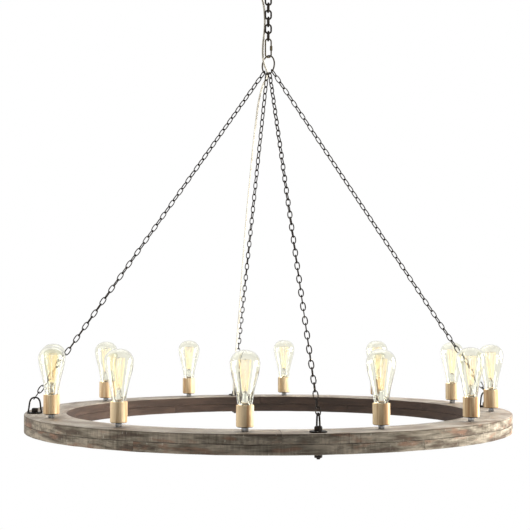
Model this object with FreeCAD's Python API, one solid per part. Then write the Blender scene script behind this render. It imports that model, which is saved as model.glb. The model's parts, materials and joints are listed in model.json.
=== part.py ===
import FreeCAD, Part
import math
import os

from FreeCAD import Matrix, Placement, Vector

# A wagon wheel chandelier, in millimetres, hung from a ceiling at z = 0.
# The origin is the centre of the ceiling fitting's two screws, +Z is up.
# A crossbar and canopy carry a short chain of seven links, a screw-closed quick link,
# a gathering ring and four leg chains, which hold a wheel of two layers of wooden felloes.
# Twelve sockets stand on the wheel, each with a tall clear bulb.
# Round wires and turned pieces that repeat are drawn with flat sides, to keep the model light.

# --- ceiling fitting -------------------------------------------------------------------
CROSSBAR_LENGTH = 108.0
CROSSBAR_WIDTH = 20.0
CROSSBAR_THICKNESS = 2.5
SCREW_SPACING = 88.9
SCREW_HOLE_RADIUS = 2.4
CANOPY_RADIUS = 63.5
CANOPY_DEPTH = 30.0
CANOPY_RIM_HEIGHT = 6.0
CANOPY_FLAT_RADIUS = 36.0
CANOPY_SLOPE_RADIUS = 51.0
CANOPY_SLOPE_DEPTH = 21.0
CANOPY_WALL = 1.2
CANOPY_SIDES = 16
NIPPLE_RADIUS = 4.8
NIPPLE_BORE_RADIUS = 3.0
LOCKNUT_RADIUS = 8.5
LOCKNUT_THICKNESS = 4.0
COLLAR_RADIUS = 9.0
COLLAR_HEIGHT = 12.0
COLLAR_NECK_RADIUS = 6.3
COLLAR_TAPER_HEIGHT = 3.0
LOOP_OUTER_DIAMETER = 34.0
LOOP_SEGMENTS = 12
BUSHING_CIRCLE_RADIUS = 24.0
BUSHING_ANGLE = 160.0
BUSHING_RADIUS = 4.6
BUSHING_FLANGE_RADIUS = 6.5
BUSHING_FLANGE_HEIGHT = 3.0
BUSHING_LENGTH = 9.0

# --- main chain, quick link and gathering ring ------------------------------------------
MAIN_LINKS = 7
MAIN_WIRE = 4.6
MAIN_PITCH = 18.6
MAIN_LINK_WIDTH = 19.8
LINK_END_SEGMENTS = 3
WIRE_SIDES = 6
QUICK_WIRE = 3.8
QUICK_LENGTH = 52.5
QUICK_WIDTH = 19.0
QUICK_END_SEGMENTS = 5
QUICK_NUT_LENGTH = 12.7
QUICK_NUT_RADIUS = 3.6
RING_WIRE = 3.8
RING_OUTER_DIAMETER = 52.0
RING_SEGMENTS = 24
RING_TURN = -60.0

# --- leg chains -------------------------------------------------------------------------
LEG_LINKS = 54
LEG_WIRE = 2.8
LEG_PITCH = 18.83
LEG_LINK_WIDTH = 12.8
LEG_LINK_END_WIDTH = 9.4
LEG_NAMES = ("right", "rear", "left", "front")
LEG_ANGLES = (0.0, 90.0, 180.0, 270.0)
LEG_RING_ANGLES = (42.0, -12.0, -46.0, 14.0)

# --- brackets on the wheel --------------------------------------------------------------
BRACKET_INSET = 26.0
ARCH_WIRE = 4.0
ARCH_SIDES = 4
ARCH_HEIGHT = 37.0
ARCH_BASE_WIDTH = 34.0
ARCH_SHOULDER_WIDTH = 26.3
ARCH_SHOULDER_HEIGHT = 25.2
ARCH_TOP_WIDTH = 8.0
DISC_RADIUS = 18.5
DISC_THICKNESS = 3.0
BOLT_RADIUS = 4.0
BOLT_HEAD_RADIUS = 8.6
BOLT_HEAD_HEIGHT = 10.0
BOLT_CHAMFER_HEIGHT = 2.0
BOLT_CROWN_RADIUS = 6.9
NUT_RADIUS = 8.6
NUT_HEIGHT = 8.0
BOLT_END = 3.0

# --- wheel ------------------------------------------------------------------------------
WHEEL_RADIUS = 610.0
RIM_WIDTH = 104.0
BOARD_THICKNESS = 22.0
FELLOES = 6
UPPER_JOINT_ANGLE = 22.5
LOWER_JOINT_ANGLE = 52.5
CHANNEL_WIDTH = 18.0
CHANNEL_DEPTH = 9.0
HARNESS_WIDTH = 5.0
HARNESS_HEIGHT = 5.0

# --- sockets and bulbs ------------------------------------------------------------------
SOCKETS = 12
SOCKET_INSET = 48.5
SOCKET_SIDES = 8
HEX_SIDES = 6
FILAMENT_SIDES = 4
STEM_RADIUS = 5.0
SPACER_RADIUS = 7.4
SPACER_HEIGHT = 9.0
WASHER_RADIUS = 16.5
WASHER_THICKNESS = 1.2
COVER_RADIUS = 18.5
COVER_WALL = 3.0
COVER_HEIGHT = 44.5
HOLDER_BASE = 12.0
HOLDER_WALL = 1.6
HOLDER_RECESS = 3.0
BULB_DIAMETER = 64.0
BULB_LENGTH = 113.5
BULB_NECK_RADIUS = 12.4
BULB_FLARE_RADIUS = 13.8
BULB_FLARE_HEIGHT = 13.6
BULB_FLANK_RADIUS = 30.1
BULB_FLANK_HEIGHT = 64.7
BULB_WIDEST_HEIGHT = 84.0
BULB_CROWN_RADIUS = 23.7
BULB_CROWN_HEIGHT = 104.4
BULB_WALL = 1.2
CAP_LENGTH = 25.0
CAP_CONTACT_RADIUS = 5.2
CAP_INSULATOR_HEIGHT = 3.0
FILAMENT_WIDTH = 12.0
FILAMENT_FOOT_WIDTH = 6.0
FILAMENT_LENGTH = 58.0
FLUE_RADIUS = 4.0
FLUE_TOP_RADIUS = 2.0
FLUE_LENGTH = 28.0

# --- cord -------------------------------------------------------------------------------
CORD_WIDTH = 5.4
CORD_THICKNESS = 2.7
CORD_DROP = 20.0
CORD_RISE = 34.0
GROMMET_INSET = 65.0
GROMMET_ANGLE = 91.0
GROMMET_RADIUS = 5.5
GROMMET_FLANGE_RADIUS = 7.5
GROMMET_FLANGE_HEIGHT = 2.0

# --- clearances -------------------------------------------------------------------------
SEAT_GAP = 0.3
RING_SEAT_GAP = 0.4
HOLE_CLEARANCE = 0.3
THREAD_CLEARANCE = 0.05
SIDE_CLEARANCE = 0.4
CUT_MARGIN = 1.0


# === sizes that follow from those above ==================================================
WHEEL_INNER_RADIUS = WHEEL_RADIUS - RIM_WIDTH
BRACKET_CIRCLE_RADIUS = WHEEL_RADIUS - BRACKET_INSET
SOCKET_CIRCLE_RADIUS = WHEEL_RADIUS - SOCKET_INSET
GROMMET_CIRCLE_RADIUS = WHEEL_RADIUS - GROMMET_INSET
HOLDER_RADIUS = COVER_RADIUS - COVER_WALL - SIDE_CLEARANCE
HOLDER_BORE_RADIUS = HOLDER_RADIUS - HOLDER_WALL
CAP_RADIUS = HOLDER_BORE_RADIUS - SIDE_CLEARANCE
MAIN_LINK_LENGTH = MAIN_PITCH + SEAT_GAP + MAIN_WIRE
LOOP_CENTRE_Z = -CANOPY_DEPTH - COLLAR_HEIGHT - LOOP_OUTER_DIAMETER / 2
LOOP_PIVOT_Z = LOOP_CENTRE_Z - LOOP_OUTER_DIAMETER / 2 + MAIN_WIRE / 2
FIRST_LINK_Z = LOOP_PIVOT_Z + MAIN_WIRE + SEAT_GAP - MAIN_LINK_LENGTH / 2
LAST_PIVOT_Z = FIRST_LINK_Z - (MAIN_LINKS - 1) * MAIN_PITCH - MAIN_LINK_LENGTH / 2
QUICK_PATH_LENGTH = QUICK_LENGTH - QUICK_WIRE
QUICK_Z = LAST_PIVOT_Z + (MAIN_WIRE + QUICK_WIRE) / 2 + SEAT_GAP - QUICK_PATH_LENGTH / 2
QUICK_PIVOT_Z = QUICK_Z - QUICK_PATH_LENGTH / 2
RING_PATH_RADIUS = (RING_OUTER_DIAMETER - RING_WIRE) / 2
RING_Z = QUICK_PIVOT_Z + (QUICK_WIRE + RING_WIRE) / 2 + RING_SEAT_GAP - RING_PATH_RADIUS
LEG_LINK_LENGTH = LEG_PITCH + SEAT_GAP + LEG_WIRE


def polar(radius, degrees, z=0.0):
    """The point at a radius and angle about the Z axis."""
    angle = math.radians(degrees)
    return Vector(radius * math.cos(angle), radius * math.sin(angle), z)


def ring_direction():
    """The horizontal direction in which the gathering ring's plane runs."""
    return polar(1.0, RING_TURN)


def ring_point(degrees):
    """The centre of the ring's wire at an angle from its lowest point."""
    angle = math.radians(degrees)
    side = ring_direction() * (RING_PATH_RADIUS * math.sin(angle))
    return side + Vector(0, 0, RING_Z - RING_PATH_RADIUS * math.cos(angle))


def ring_tangent(degrees):
    """The direction of the ring's wire there."""
    angle = math.radians(degrees)
    return ring_direction() * math.cos(angle) + Vector(0, 0, math.sin(angle))


def solid_from_faces(outlines):
    """A closed solid bounded by flat faces, each given by its corners."""
    faces = [Part.Face(Part.makePolygon(corners + corners[:1])) for corners in outlines]
    shell = Part.makeShell(faces)
    shell.sewShape()
    solid = Part.makeSolid(shell)
    if solid.Volume < 0:
        solid.reverse()
    return solid


def turned(profile, sides, centre=Vector(0, 0, 0)):
    """A turned piece with flat sides. The profile is a closed list of (radius, z)."""
    step = 360.0 / sides
    rings = [[polar(r, (i + 0.5) * step, z) + centre for i in range(sides)] for r, z in profile]
    outlines = []
    for (r1, z1), (r2, z2), low, high in zip(
        profile, profile[1:] + profile[:1], rings, rings[1:] + rings[:1]
    ):
        if r1 == 0 and r2 == 0:
            continue
        if z1 == z2 and min(r1, r2) == 0:
            outlines.append(low if r1 > 0 else high)
            continue
        for i in range(sides):
            j = (i + 1) % sides
            corners = [low[i], low[j]] if r1 > 0 else [low[i]]
            corners += [high[j], high[i]] if r2 > 0 else [high[i]]
            outlines.append(corners)
    return solid_from_faces(outlines)


def tube(inner_radius, outer_radius, low, high, sides, centre=Vector(0, 0, 0)):
    """An upright tube with flat sides."""
    profile = [(inner_radius, low), (outer_radius, low), (outer_radius, high), (inner_radius, high)]
    return turned(profile, sides, centre)


def rod(radius, low, high, sides, centre=Vector(0, 0, 0)):
    """An upright rod with flat sides."""
    return turned([(0, low), (radius, low), (radius, high), (0, high)], sides, centre)


def round_section(diameter, sides):
    """A wire's section, with one corner on its inner side, as (outward, across) pairs."""
    radius = diameter / 2
    angles = [math.pi + 2 * math.pi * i / sides for i in range(sides)]
    return [(radius * math.cos(a), radius * math.sin(a)) for a in angles]


def wedge_section(diameter):
    """A three-sided section as deep and as wide as the wire, with its edge inwards."""
    radius = diameter / 2
    return [(-radius, 0.0), (radius, -radius), (radius, radius)]


def mitres(path, closed):
    """At each point of a flat (x, z) path, the mitred outward direction of its offset."""
    edges = list(zip(path, path[1:] + path[:1])) if closed else list(zip(path, path[1:]))
    normals = []
    for (x1, z1), (x2, z2) in edges:
        length = math.hypot(x2 - x1, z2 - z1)
        normals.append(((z2 - z1) / length, (x1 - x2) / length))
    result = []
    for i in range(len(path)):
        after = normals[i % len(normals)] if closed or i < len(normals) else normals[-1]
        before = normals[i - 1] if closed or i > 0 else normals[0]
        scale = 1 + after[0] * before[0] + after[1] * before[1]
        result.append(((after[0] + before[0]) / scale, (after[1] + before[1]) / scale))
    return result


def bent_wire(path, section, closed=True):
    """A wire of flat-sided section along a flat (x, z) path, anticlockwise if closed."""
    rings = []
    for (x, z), (mx, mz) in zip(path, mitres(path, closed)):
        rings.append([Vector(x + mx * out, across, z + mz * out) for out, across in section])
    pairs = zip(rings, rings[1:] + rings[:1]) if closed else zip(rings, rings[1:])
    outlines = []
    for here, there in pairs:
        for i in range(len(section)):
            j = (i + 1) % len(section)
            outlines.append([here[i], here[j], there[j], there[i]])
    if not closed:
        outlines += [rings[0], rings[-1]]
    return solid_from_faces(outlines)


def oval_path(length, width, end_segments):
    """An oval about the origin, with straight sides along z and arcs of flat segments."""
    turn = 180.0 / (end_segments + 1)
    radius = width / 2 / math.cos(math.radians(turn / 2))
    straight = (length - width) / 2
    path = []
    for i in range(2 * (end_segments + 1)):
        angle = math.radians((i + 0.5) * turn)
        side = straight if i <= end_segments else -straight
        path.append((radius * math.cos(angle), radius * math.sin(angle) + side))
    return path


def barrel_path(length, end_width, middle_width):
    """A six-cornered chain link with flat ends and bowed sides, about the origin."""
    end, middle, half = end_width / 2, middle_width / 2, length / 2
    return [(middle, 0), (end, half), (-end, half), (-middle, 0), (-end, -half), (end, -half)]


def clear_radius(radius, sides):
    """The corner radius of a flat-sided hole that clears a rod, however it is turned."""
    return (radius + HOLE_CLEARANCE) / math.cos(math.pi / sides)


def placed(shape, x_axis, z_axis, position):
    """A copy of a shape with its own X and Z axes and origin where they are given."""
    y_axis = z_axis.cross(x_axis)
    matrix = Matrix(
        x_axis.x, y_axis.x, z_axis.x, position.x,
        x_axis.y, y_axis.y, z_axis.y, position.y,
        x_axis.z, y_axis.z, z_axis.z, position.z,
        0, 0, 0, 1,
    )
    copy = shape.copy()
    copy.Placement = Placement(matrix).multiply(shape.Placement)
    return copy


def about_z(shape, degrees, position=Vector(0, 0, 0)):
    """A copy turned about the Z axis and then moved."""
    return placed(shape, polar(1.0, degrees), Vector(0, 0, 1), position)


# === ceiling fitting =====================================================================
def crossbar():
    """The steel bar that two screws hold to the ceiling box, tapped for the nipple."""
    corner = Vector(-CROSSBAR_LENGTH / 2, -CROSSBAR_WIDTH / 2, -CROSSBAR_THICKNESS)
    bar = Part.makeBox(CROSSBAR_LENGTH, CROSSBAR_WIDTH, CROSSBAR_THICKNESS, corner)
    bottom = -CROSSBAR_THICKNESS
    for x in (-SCREW_SPACING / 2, SCREW_SPACING / 2):
        bar = bar.cut(Part.makeCylinder(SCREW_HOLE_RADIUS, CROSSBAR_THICKNESS, Vector(x, 0, bottom)))
    hole = NIPPLE_RADIUS + THREAD_CLEARANCE
    return bar.cut(rod(hole, bottom - CUT_MARGIN, CUT_MARGIN, SOCKET_SIDES))


def bushing_place(z=0.0):
    """The centre of the cord's bushing in the canopy."""
    return polar(BUSHING_CIRCLE_RADIUS, BUSHING_ANGLE, z)


def canopy():
    """The pressed steel cover over the ceiling box, with holes for nipple and cord."""
    wall, hole = CANOPY_WALL, NIPPLE_RADIUS + HOLE_CLEARANCE
    outside = [
        (hole, -CANOPY_DEPTH),
        (CANOPY_FLAT_RADIUS, -CANOPY_DEPTH),
        (CANOPY_SLOPE_RADIUS, -CANOPY_SLOPE_DEPTH),
        (CANOPY_RADIUS, -CANOPY_RIM_HEIGHT),
        (CANOPY_RADIUS, 0),
    ]
    inside = [
        (CANOPY_RADIUS - wall, 0),
        (CANOPY_RADIUS - wall, -CANOPY_RIM_HEIGHT + wall / 2),
        (CANOPY_SLOPE_RADIUS - wall, -CANOPY_SLOPE_DEPTH + wall / 2),
        (CANOPY_FLAT_RADIUS - wall / 2, -CANOPY_DEPTH + wall),
        (hole, -CANOPY_DEPTH + wall),
    ]
    shell = turned(outside + inside, CANOPY_SIDES)
    low, high = -CANOPY_DEPTH - CUT_MARGIN, -CANOPY_DEPTH + wall + CUT_MARGIN
    return shell.cut(rod(BUSHING_RADIUS + HOLE_CLEARANCE, low, high, SOCKET_SIDES, bushing_place()))


def canopy_nipple():
    """The threaded tube from the crossbar, through the canopy, into the loop's collar."""
    low = -CANOPY_DEPTH - COLLAR_HEIGHT / 2
    return tube(NIPPLE_BORE_RADIUS, NIPPLE_RADIUS, low, -SEAT_GAP, SOCKET_SIDES)


def canopy_locknut():
    """The hexagon nut that locks the nipple under the crossbar."""
    hole = rod(NIPPLE_RADIUS + THREAD_CLEARANCE, -CANOPY_DEPTH, 0, SOCKET_SIDES)
    nut = rod(LOCKNUT_RADIUS, -CROSSBAR_THICKNESS - LOCKNUT_THICKNESS, -CROSSBAR_THICKNESS,
              HEX_SIDES)
    return nut.cut(hole)


def canopy_loop():
    """The screwed collar under the canopy and the fixed loop that the chain hangs on."""
    socket_depth = COLLAR_HEIGHT / 2 + SEAT_GAP
    low = -CANOPY_DEPTH - COLLAR_HEIGHT
    bore = NIPPLE_RADIUS + THREAD_CLEARANCE
    collar = turned(
        [
            (0, low - MAIN_WIRE / 2),
            (COLLAR_NECK_RADIUS, low - MAIN_WIRE / 2),
            (COLLAR_RADIUS, low + COLLAR_TAPER_HEIGHT),
            (COLLAR_RADIUS, -CANOPY_DEPTH),
            (bore, -CANOPY_DEPTH),
            (bore, -CANOPY_DEPTH - socket_depth),
            (0, -CANOPY_DEPTH - socket_depth),
        ],
        SOCKET_SIDES,
    )
    diameter = LOOP_OUTER_DIAMETER - MAIN_WIRE
    path = oval_path(diameter, diameter, LOOP_SEGMENTS // 2 - 1)
    loop = bent_wire(path, round_section(MAIN_WIRE, WIRE_SIDES))
    loop.translate(Vector(0, 0, LOOP_CENTRE_Z))
    return collar.fuse(loop)


def cord_bushing():
    """The strain relief through which the cord leaves the canopy."""
    low = -CANOPY_DEPTH - BUSHING_FLANGE_HEIGHT
    profile = [
        (0, low),
        (BUSHING_RADIUS, low),
        (BUSHING_FLANGE_RADIUS, -CANOPY_DEPTH),
        (BUSHING_RADIUS, -CANOPY_DEPTH),
        (BUSHING_RADIUS, low + BUSHING_LENGTH),
        (0, low + BUSHING_LENGTH),
    ]
    return turned(profile, SOCKET_SIDES, bushing_place())


# === main chain ==========================================================================
def main_link(number):
    """One welded link of the main chain. Odd links stand across the ceiling bar."""
    path = oval_path(MAIN_LINK_LENGTH, MAIN_LINK_WIDTH - MAIN_WIRE, LINK_END_SEGMENTS)
    link = bent_wire(path, round_section(MAIN_WIRE, WIRE_SIDES))
    z = FIRST_LINK_Z - (number - 1) * MAIN_PITCH
    return about_z(link, 90.0 if number % 2 else 0.0, Vector(0, 0, z))


def quick_link():
    """The oval link of round rod that joins the chain to the gathering ring."""
    path = oval_path(QUICK_PATH_LENGTH, QUICK_WIDTH - QUICK_WIRE, QUICK_END_SEGMENTS)
    link = bent_wire(path, round_section(QUICK_WIRE, WIRE_SIDES))
    link.translate(Vector(0, 0, QUICK_Z))
    return link


def quick_link_nut():
    """The sleeve nut that closes the quick link, on its right-hand side."""
    low = QUICK_Z - QUICK_NUT_LENGTH / 2
    bore = QUICK_WIRE / 2 + THREAD_CLEARANCE
    sleeve = tube(bore, QUICK_NUT_RADIUS, low, low + QUICK_NUT_LENGTH, HEX_SIDES)
    return about_z(sleeve, 180.0 / HEX_SIDES, Vector((QUICK_WIDTH - QUICK_WIRE) / 2, 0, 0))


def gather_ring():
    """The welded ring that gathers the four leg chains."""
    turn = math.pi / RING_SEGMENTS
    radius = RING_PATH_RADIUS * 2 / (1 + math.cos(turn))
    path = []
    for i in range(RING_SEGMENTS):
        angle = 2 * turn * (i + 0.5)
        path.append((radius * math.cos(angle), radius * math.sin(angle)))
    ring = bent_wire(path, round_section(RING_WIRE, WIRE_SIDES))
    return about_z(ring, RING_TURN, Vector(0, 0, RING_Z))


# === heights of the wheel, from the length of the leg chains ==============================
def leg_span(wheel_z, ring_angle, leg_angle):
    """The vector from the ring's wire to the arch's wire along one leg chain."""
    arch_z = wheel_z + DISC_THICKNESS + ARCH_HEIGHT - ARCH_WIRE / 2
    return polar(BRACKET_CIRCLE_RADIUS, leg_angle, arch_z) - ring_point(ring_angle)


def seat_offset(direction, wire_direction, distance):
    """How far along the chain a link's end lies from a wire that it crosses aslant."""
    along = direction.dot(wire_direction)
    return distance / math.sqrt(1 - along * along)


def leg_ends(wheel_z, ring_angle, leg_angle):
    """The centres of a leg chain's first and last end wires."""
    start = ring_point(ring_angle)
    span = leg_span(wheel_z, ring_angle, leg_angle)
    direction = span / span.Length
    upper = (RING_WIRE + LEG_WIRE) / 2 + RING_SEAT_GAP
    lower = (ARCH_WIRE + LEG_WIRE) / 2 + SEAT_GAP
    before = seat_offset(direction, ring_tangent(ring_angle), upper)
    after = seat_offset(direction, polar(1.0, leg_angle), lower)
    return start - direction * before, start + span + direction * after


def chain_length(links):
    """The length of a leg chain between the centres of its two end wires."""
    return (links - 1) * LEG_PITCH + LEG_LINK_LENGTH


def wheel_height():
    """The wheel's top, where the four leg chains have their length on average."""
    low, high = RING_Z - 3 * BRACKET_CIRCLE_RADIUS - chain_length(LEG_LINKS), RING_Z
    while high - low > 1e-6:
        middle = (low + high) / 2
        lengths = []
        for ring_angle, leg_angle in zip(LEG_RING_ANGLES, LEG_ANGLES):
            first, last = leg_ends(middle, ring_angle, leg_angle)
            lengths.append((last - first).Length)
        if sum(lengths) / len(lengths) > chain_length(LEG_LINKS):
            low = middle
        else:
            high = middle
    return (low + high) / 2


WHEEL_Z = wheel_height()
SEAM_Z = WHEEL_Z - BOARD_THICKNESS
UNDERSIDE_Z = WHEEL_Z - 2 * BOARD_THICKNESS
COVER_Z = WHEEL_Z + SPACER_HEIGHT + WASHER_THICKNESS
BULB_Z = COVER_Z + COVER_HEIGHT
CAP_Z = COVER_Z + HOLDER_BASE + SEAT_GAP
CAP_TOP_Z = CAP_Z + CAP_LENGTH


# === leg chains ==========================================================================
def turned_about(vector, axis, angle):
    """A vector at right angles to an axis, turned about it."""
    return vector * math.cos(angle) + axis.cross(vector) * math.sin(angle)


def leg_twist(start, end, direction, links):
    """The small turn that each link adds, so that the last lies across its arch."""
    turned_start = turned_about(start, direction, (links - 1) * math.pi / 2)
    across = direction.cross(turned_start)
    angle = math.atan2(end.dot(across), end.dot(turned_start))
    whole = angle - math.pi * round(angle / math.pi)
    return whole / (links - 1)


def leg_chain(ring_angle, leg_angle):
    """One leg chain of separate links, each a quarter turn from the last."""
    path = barrel_path(LEG_LINK_LENGTH, LEG_LINK_END_WIDTH - LEG_WIRE, LEG_LINK_WIDTH - LEG_WIRE)
    link = bent_wire(path, wedge_section(LEG_WIRE))
    first, last = leg_ends(WHEEL_Z, ring_angle, leg_angle)
    direction = (last - first) / (last - first).Length
    pitch = ((last - first).Length - LEG_LINK_LENGTH) / (LEG_LINKS - 1)
    start = ring_tangent(ring_angle).cross(direction)
    start = start / start.Length
    end = polar(1.0, leg_angle + 90.0)
    twist = leg_twist(start, end, direction, LEG_LINKS)
    links = []
    for i in range(LEG_LINKS):
        across = turned_about(start, direction, i * (math.pi / 2 + twist))
        centre = first + direction * (LEG_LINK_LENGTH / 2 + i * pitch)
        links.append(placed(link, across, direction, centre))
    return Part.makeCompound(links)


# === brackets ============================================================================
def at_brackets(shape):
    """A copy of a shape at each bracket, turned to the wheel's centre."""
    copies = []
    for angle in LEG_ANGLES:
        copies.append(about_z(shape, angle, polar(BRACKET_CIRCLE_RADIUS, angle, WHEEL_Z)))
    return Part.makeCompound(copies)


def chain_arches():
    """The splayed iron arches that the leg chains hook on, welded to their discs."""
    half_base = (ARCH_BASE_WIDTH - ARCH_WIRE) / 2
    half_top = ARCH_TOP_WIDTH / 2
    top = DISC_THICKNESS + ARCH_HEIGHT - ARCH_WIRE / 2
    shoulder = (ARCH_SHOULDER_WIDTH / 2, DISC_THICKNESS + ARCH_SHOULDER_HEIGHT)
    right = [(half_base, DISC_THICKNESS), shoulder, (half_top, top)]
    path = right + [(-x, z) for x, z in reversed(right)]
    arch = bent_wire(path, round_section(ARCH_WIRE, ARCH_SIDES), closed=False)
    below = Part.makeBox(2 * ARCH_BASE_WIDTH, 2 * ARCH_WIRE, DISC_THICKNESS)
    below.translate(Vector(-ARCH_BASE_WIDTH, -ARCH_WIRE, 0))
    return at_brackets(arch.cut(below).Solids[0])


def bracket_discs():
    """The round base of each arch, with a hole for its bolt."""
    hole = clear_radius(BOLT_RADIUS, SOCKET_SIDES)
    return at_brackets(tube(hole, DISC_RADIUS, 0, DISC_THICKNESS, SOCKET_SIDES))


def bracket_bolts():
    """The hexagon-headed bolts through discs and wheel."""
    low = -2 * BOARD_THICKNESS - NUT_HEIGHT - BOLT_END
    top = DISC_THICKNESS + BOLT_HEAD_HEIGHT
    shank = rod(BOLT_RADIUS, low, DISC_THICKNESS, HEX_SIDES)
    head = turned(
        [
            (0, DISC_THICKNESS),
            (BOLT_HEAD_RADIUS, DISC_THICKNESS),
            (BOLT_HEAD_RADIUS, top - BOLT_CHAMFER_HEIGHT),
            (BOLT_CROWN_RADIUS, top),
            (0, top),
        ],
        HEX_SIDES,
    )
    return at_brackets(head.fuse(shank).removeSplitter())


def bracket_nuts():
    """The hexagon nuts under the wheel."""
    high = -2 * BOARD_THICKNESS
    hole = BOLT_RADIUS + THREAD_CLEARANCE
    return at_brackets(tube(hole, NUT_RADIUS, high - NUT_HEIGHT, high, HEX_SIDES))


# === wheel ===============================================================================
def felloe(first_angle, low, high):
    """One curved board of the rim, from a joint to the next."""
    span = 360.0 / FELLOES
    middle, last = first_angle + span / 2, first_angle + span
    outer = [polar(WHEEL_RADIUS, a, low) for a in (first_angle, middle, last)]
    inner = [polar(WHEEL_INNER_RADIUS, a, low) for a in (last, middle, first_angle)]
    edges = [
        Part.Arc(*outer).toShape(),
        Part.makeLine(outer[2], inner[0]),
        Part.Arc(*inner).toShape(),
        Part.makeLine(inner[2], outer[0]),
    ]
    return Part.Face(Part.Wire(edges)).extrude(Vector(0, 0, high - low))


def socket_angles():
    """The angle of each socket about the wheel, the first half a step from the X axis."""
    return [(i + 0.5) * 360.0 / SOCKETS for i in range(SOCKETS)]


def bolt_holes(low, high):
    """The holes for the bracket bolts through one layer."""
    radius = clear_radius(BOLT_RADIUS, HEX_SIDES)
    return [
        rod(radius, low, high, HEX_SIDES, polar(BRACKET_CIRCLE_RADIUS, a)) for a in LEG_ANGLES
    ]


def socket_ring(width, low, high):
    """A ring of the given width that runs straight from each socket to the next."""
    half = width / 2 / math.cos(math.pi / SOCKETS)
    return tube(SOCKET_CIRCLE_RADIUS - half, SOCKET_CIRCLE_RADIUS + half, low, high, SOCKETS)


def layer(first_angle, low, high, cutters):
    """One layer of felloes, with the holes and channel that cross each board."""
    boards = []
    for i in range(FELLOES):
        board = felloe(first_angle + i * 360.0 / FELLOES, low, high)
        for cutter in cutters:
            if board.BoundBox.intersect(cutter.BoundBox):
                board = board.cut(cutter)
        boards.append(board.Solids[0])
    return Part.makeCompound(boards)


def upper_felloes():
    """The upper layer, bored for socket stems, bracket bolts and the cord's grommet."""
    low, high = SEAM_Z - CUT_MARGIN, WHEEL_Z + CUT_MARGIN
    cutters = bolt_holes(low, high)
    for angle in socket_angles():
        place = polar(SOCKET_CIRCLE_RADIUS, angle)
        cutters.append(rod(clear_radius(STEM_RADIUS, HEX_SIDES), low, high, HEX_SIDES, place))
    place = polar(GROMMET_CIRCLE_RADIUS, GROMMET_ANGLE)
    cutters.append(rod(GROMMET_RADIUS + HOLE_CLEARANCE, low, high, SOCKET_SIDES, place))
    return layer(UPPER_JOINT_ANGLE, SEAM_Z, WHEEL_Z, cutters)


def lower_felloes():
    """The lower layer, with the wiring channel and the bolt holes."""
    high = SEAM_Z + CUT_MARGIN
    cutters = bolt_holes(UNDERSIDE_Z - CUT_MARGIN, high)
    cutters.append(socket_ring(CHANNEL_WIDTH, SEAM_Z - CHANNEL_DEPTH, high))
    return layer(LOWER_JOINT_ANGLE, UNDERSIDE_Z, SEAM_Z, cutters)


def wiring_harness():
    """The pair of wires that runs round the channel from socket to socket."""
    floor = SEAM_Z - CHANNEL_DEPTH
    return socket_ring(HARNESS_WIDTH, floor, floor + HARNESS_HEIGHT)


def cord_grommet():
    """The grommet in the wheel's top that the cord goes down into."""
    profile = [
        (0, SEAM_Z),
        (GROMMET_RADIUS, SEAM_Z),
        (GROMMET_RADIUS, WHEEL_Z),
        (GROMMET_FLANGE_RADIUS, WHEEL_Z),
        (GROMMET_RADIUS, WHEEL_Z + GROMMET_FLANGE_HEIGHT),
        (0, WHEEL_Z + GROMMET_FLANGE_HEIGHT),
    ]
    return turned(profile, SOCKET_SIDES, polar(GROMMET_CIRCLE_RADIUS, GROMMET_ANGLE))


# === sockets and bulbs ===================================================================
def at_sockets(shape):
    """A copy of a shape at each socket."""
    copies = []
    for angle in socket_angles():
        copies.append(about_z(shape, 0.0, polar(SOCKET_CIRCLE_RADIUS, angle)))
    return Part.makeCompound(copies)


def socket_stems():
    """The metal spacer with its washer and the threaded stem that goes into the wood."""
    profile = [
        (0, SEAM_Z),
        (STEM_RADIUS, SEAM_Z),
        (STEM_RADIUS, WHEEL_Z),
        (SPACER_RADIUS, WHEEL_Z),
        (SPACER_RADIUS, WHEEL_Z + SPACER_HEIGHT),
        (WASHER_RADIUS, WHEEL_Z + SPACER_HEIGHT),
        (WASHER_RADIUS, COVER_Z),
        (0, COVER_Z),
    ]
    return at_sockets(turned(profile, HEX_SIDES))


def socket_covers():
    """The turned wooden sleeves over the lampholders."""
    inner = COVER_RADIUS - COVER_WALL
    return at_sockets(tube(inner, COVER_RADIUS, COVER_Z, BULB_Z, SOCKET_SIDES))


def lampholders():
    """The lampholders, cups that stand on the washers inside the sleeves."""
    top = BULB_Z - HOLDER_RECESS
    profile = [
        (0, COVER_Z),
        (HOLDER_RADIUS, COVER_Z),
        (HOLDER_RADIUS, top),
        (HOLDER_BORE_RADIUS, top),
        (HOLDER_BORE_RADIUS, COVER_Z + HOLDER_BASE),
        (0, COVER_Z + HOLDER_BASE),
    ]
    return at_sockets(turned(profile, SOCKET_SIDES))


def bulb_profile():
    """The tall bulb's outline, outside and inside, from its neck to its tip."""
    widest, wall = BULB_DIAMETER / 2, BULB_WALL
    tip = BULB_Z + BULB_LENGTH
    outside = [
        (BULB_NECK_RADIUS, CAP_TOP_Z),
        (BULB_FLARE_RADIUS, BULB_Z + BULB_FLARE_HEIGHT),
        (BULB_FLANK_RADIUS, BULB_Z + BULB_FLANK_HEIGHT),
        (widest, BULB_Z + BULB_WIDEST_HEIGHT),
        (BULB_CROWN_RADIUS, BULB_Z + BULB_CROWN_HEIGHT),
        (0, tip),
    ]
    inside = [
        (0, tip - wall),
        (BULB_CROWN_RADIUS - wall, BULB_Z + BULB_CROWN_HEIGHT - wall),
        (widest - wall, BULB_Z + BULB_WIDEST_HEIGHT),
        (BULB_FLARE_RADIUS - wall, BULB_Z + BULB_FLARE_HEIGHT),
        (BULB_NECK_RADIUS - wall, CAP_TOP_Z),
    ]
    return outside + inside


def glass_bulb(number):
    """The clear glass envelope of one bulb."""
    place = polar(SOCKET_CIRCLE_RADIUS, socket_angles()[number - 1])
    return turned(bulb_profile(), SOCKET_SIDES, place)


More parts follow.
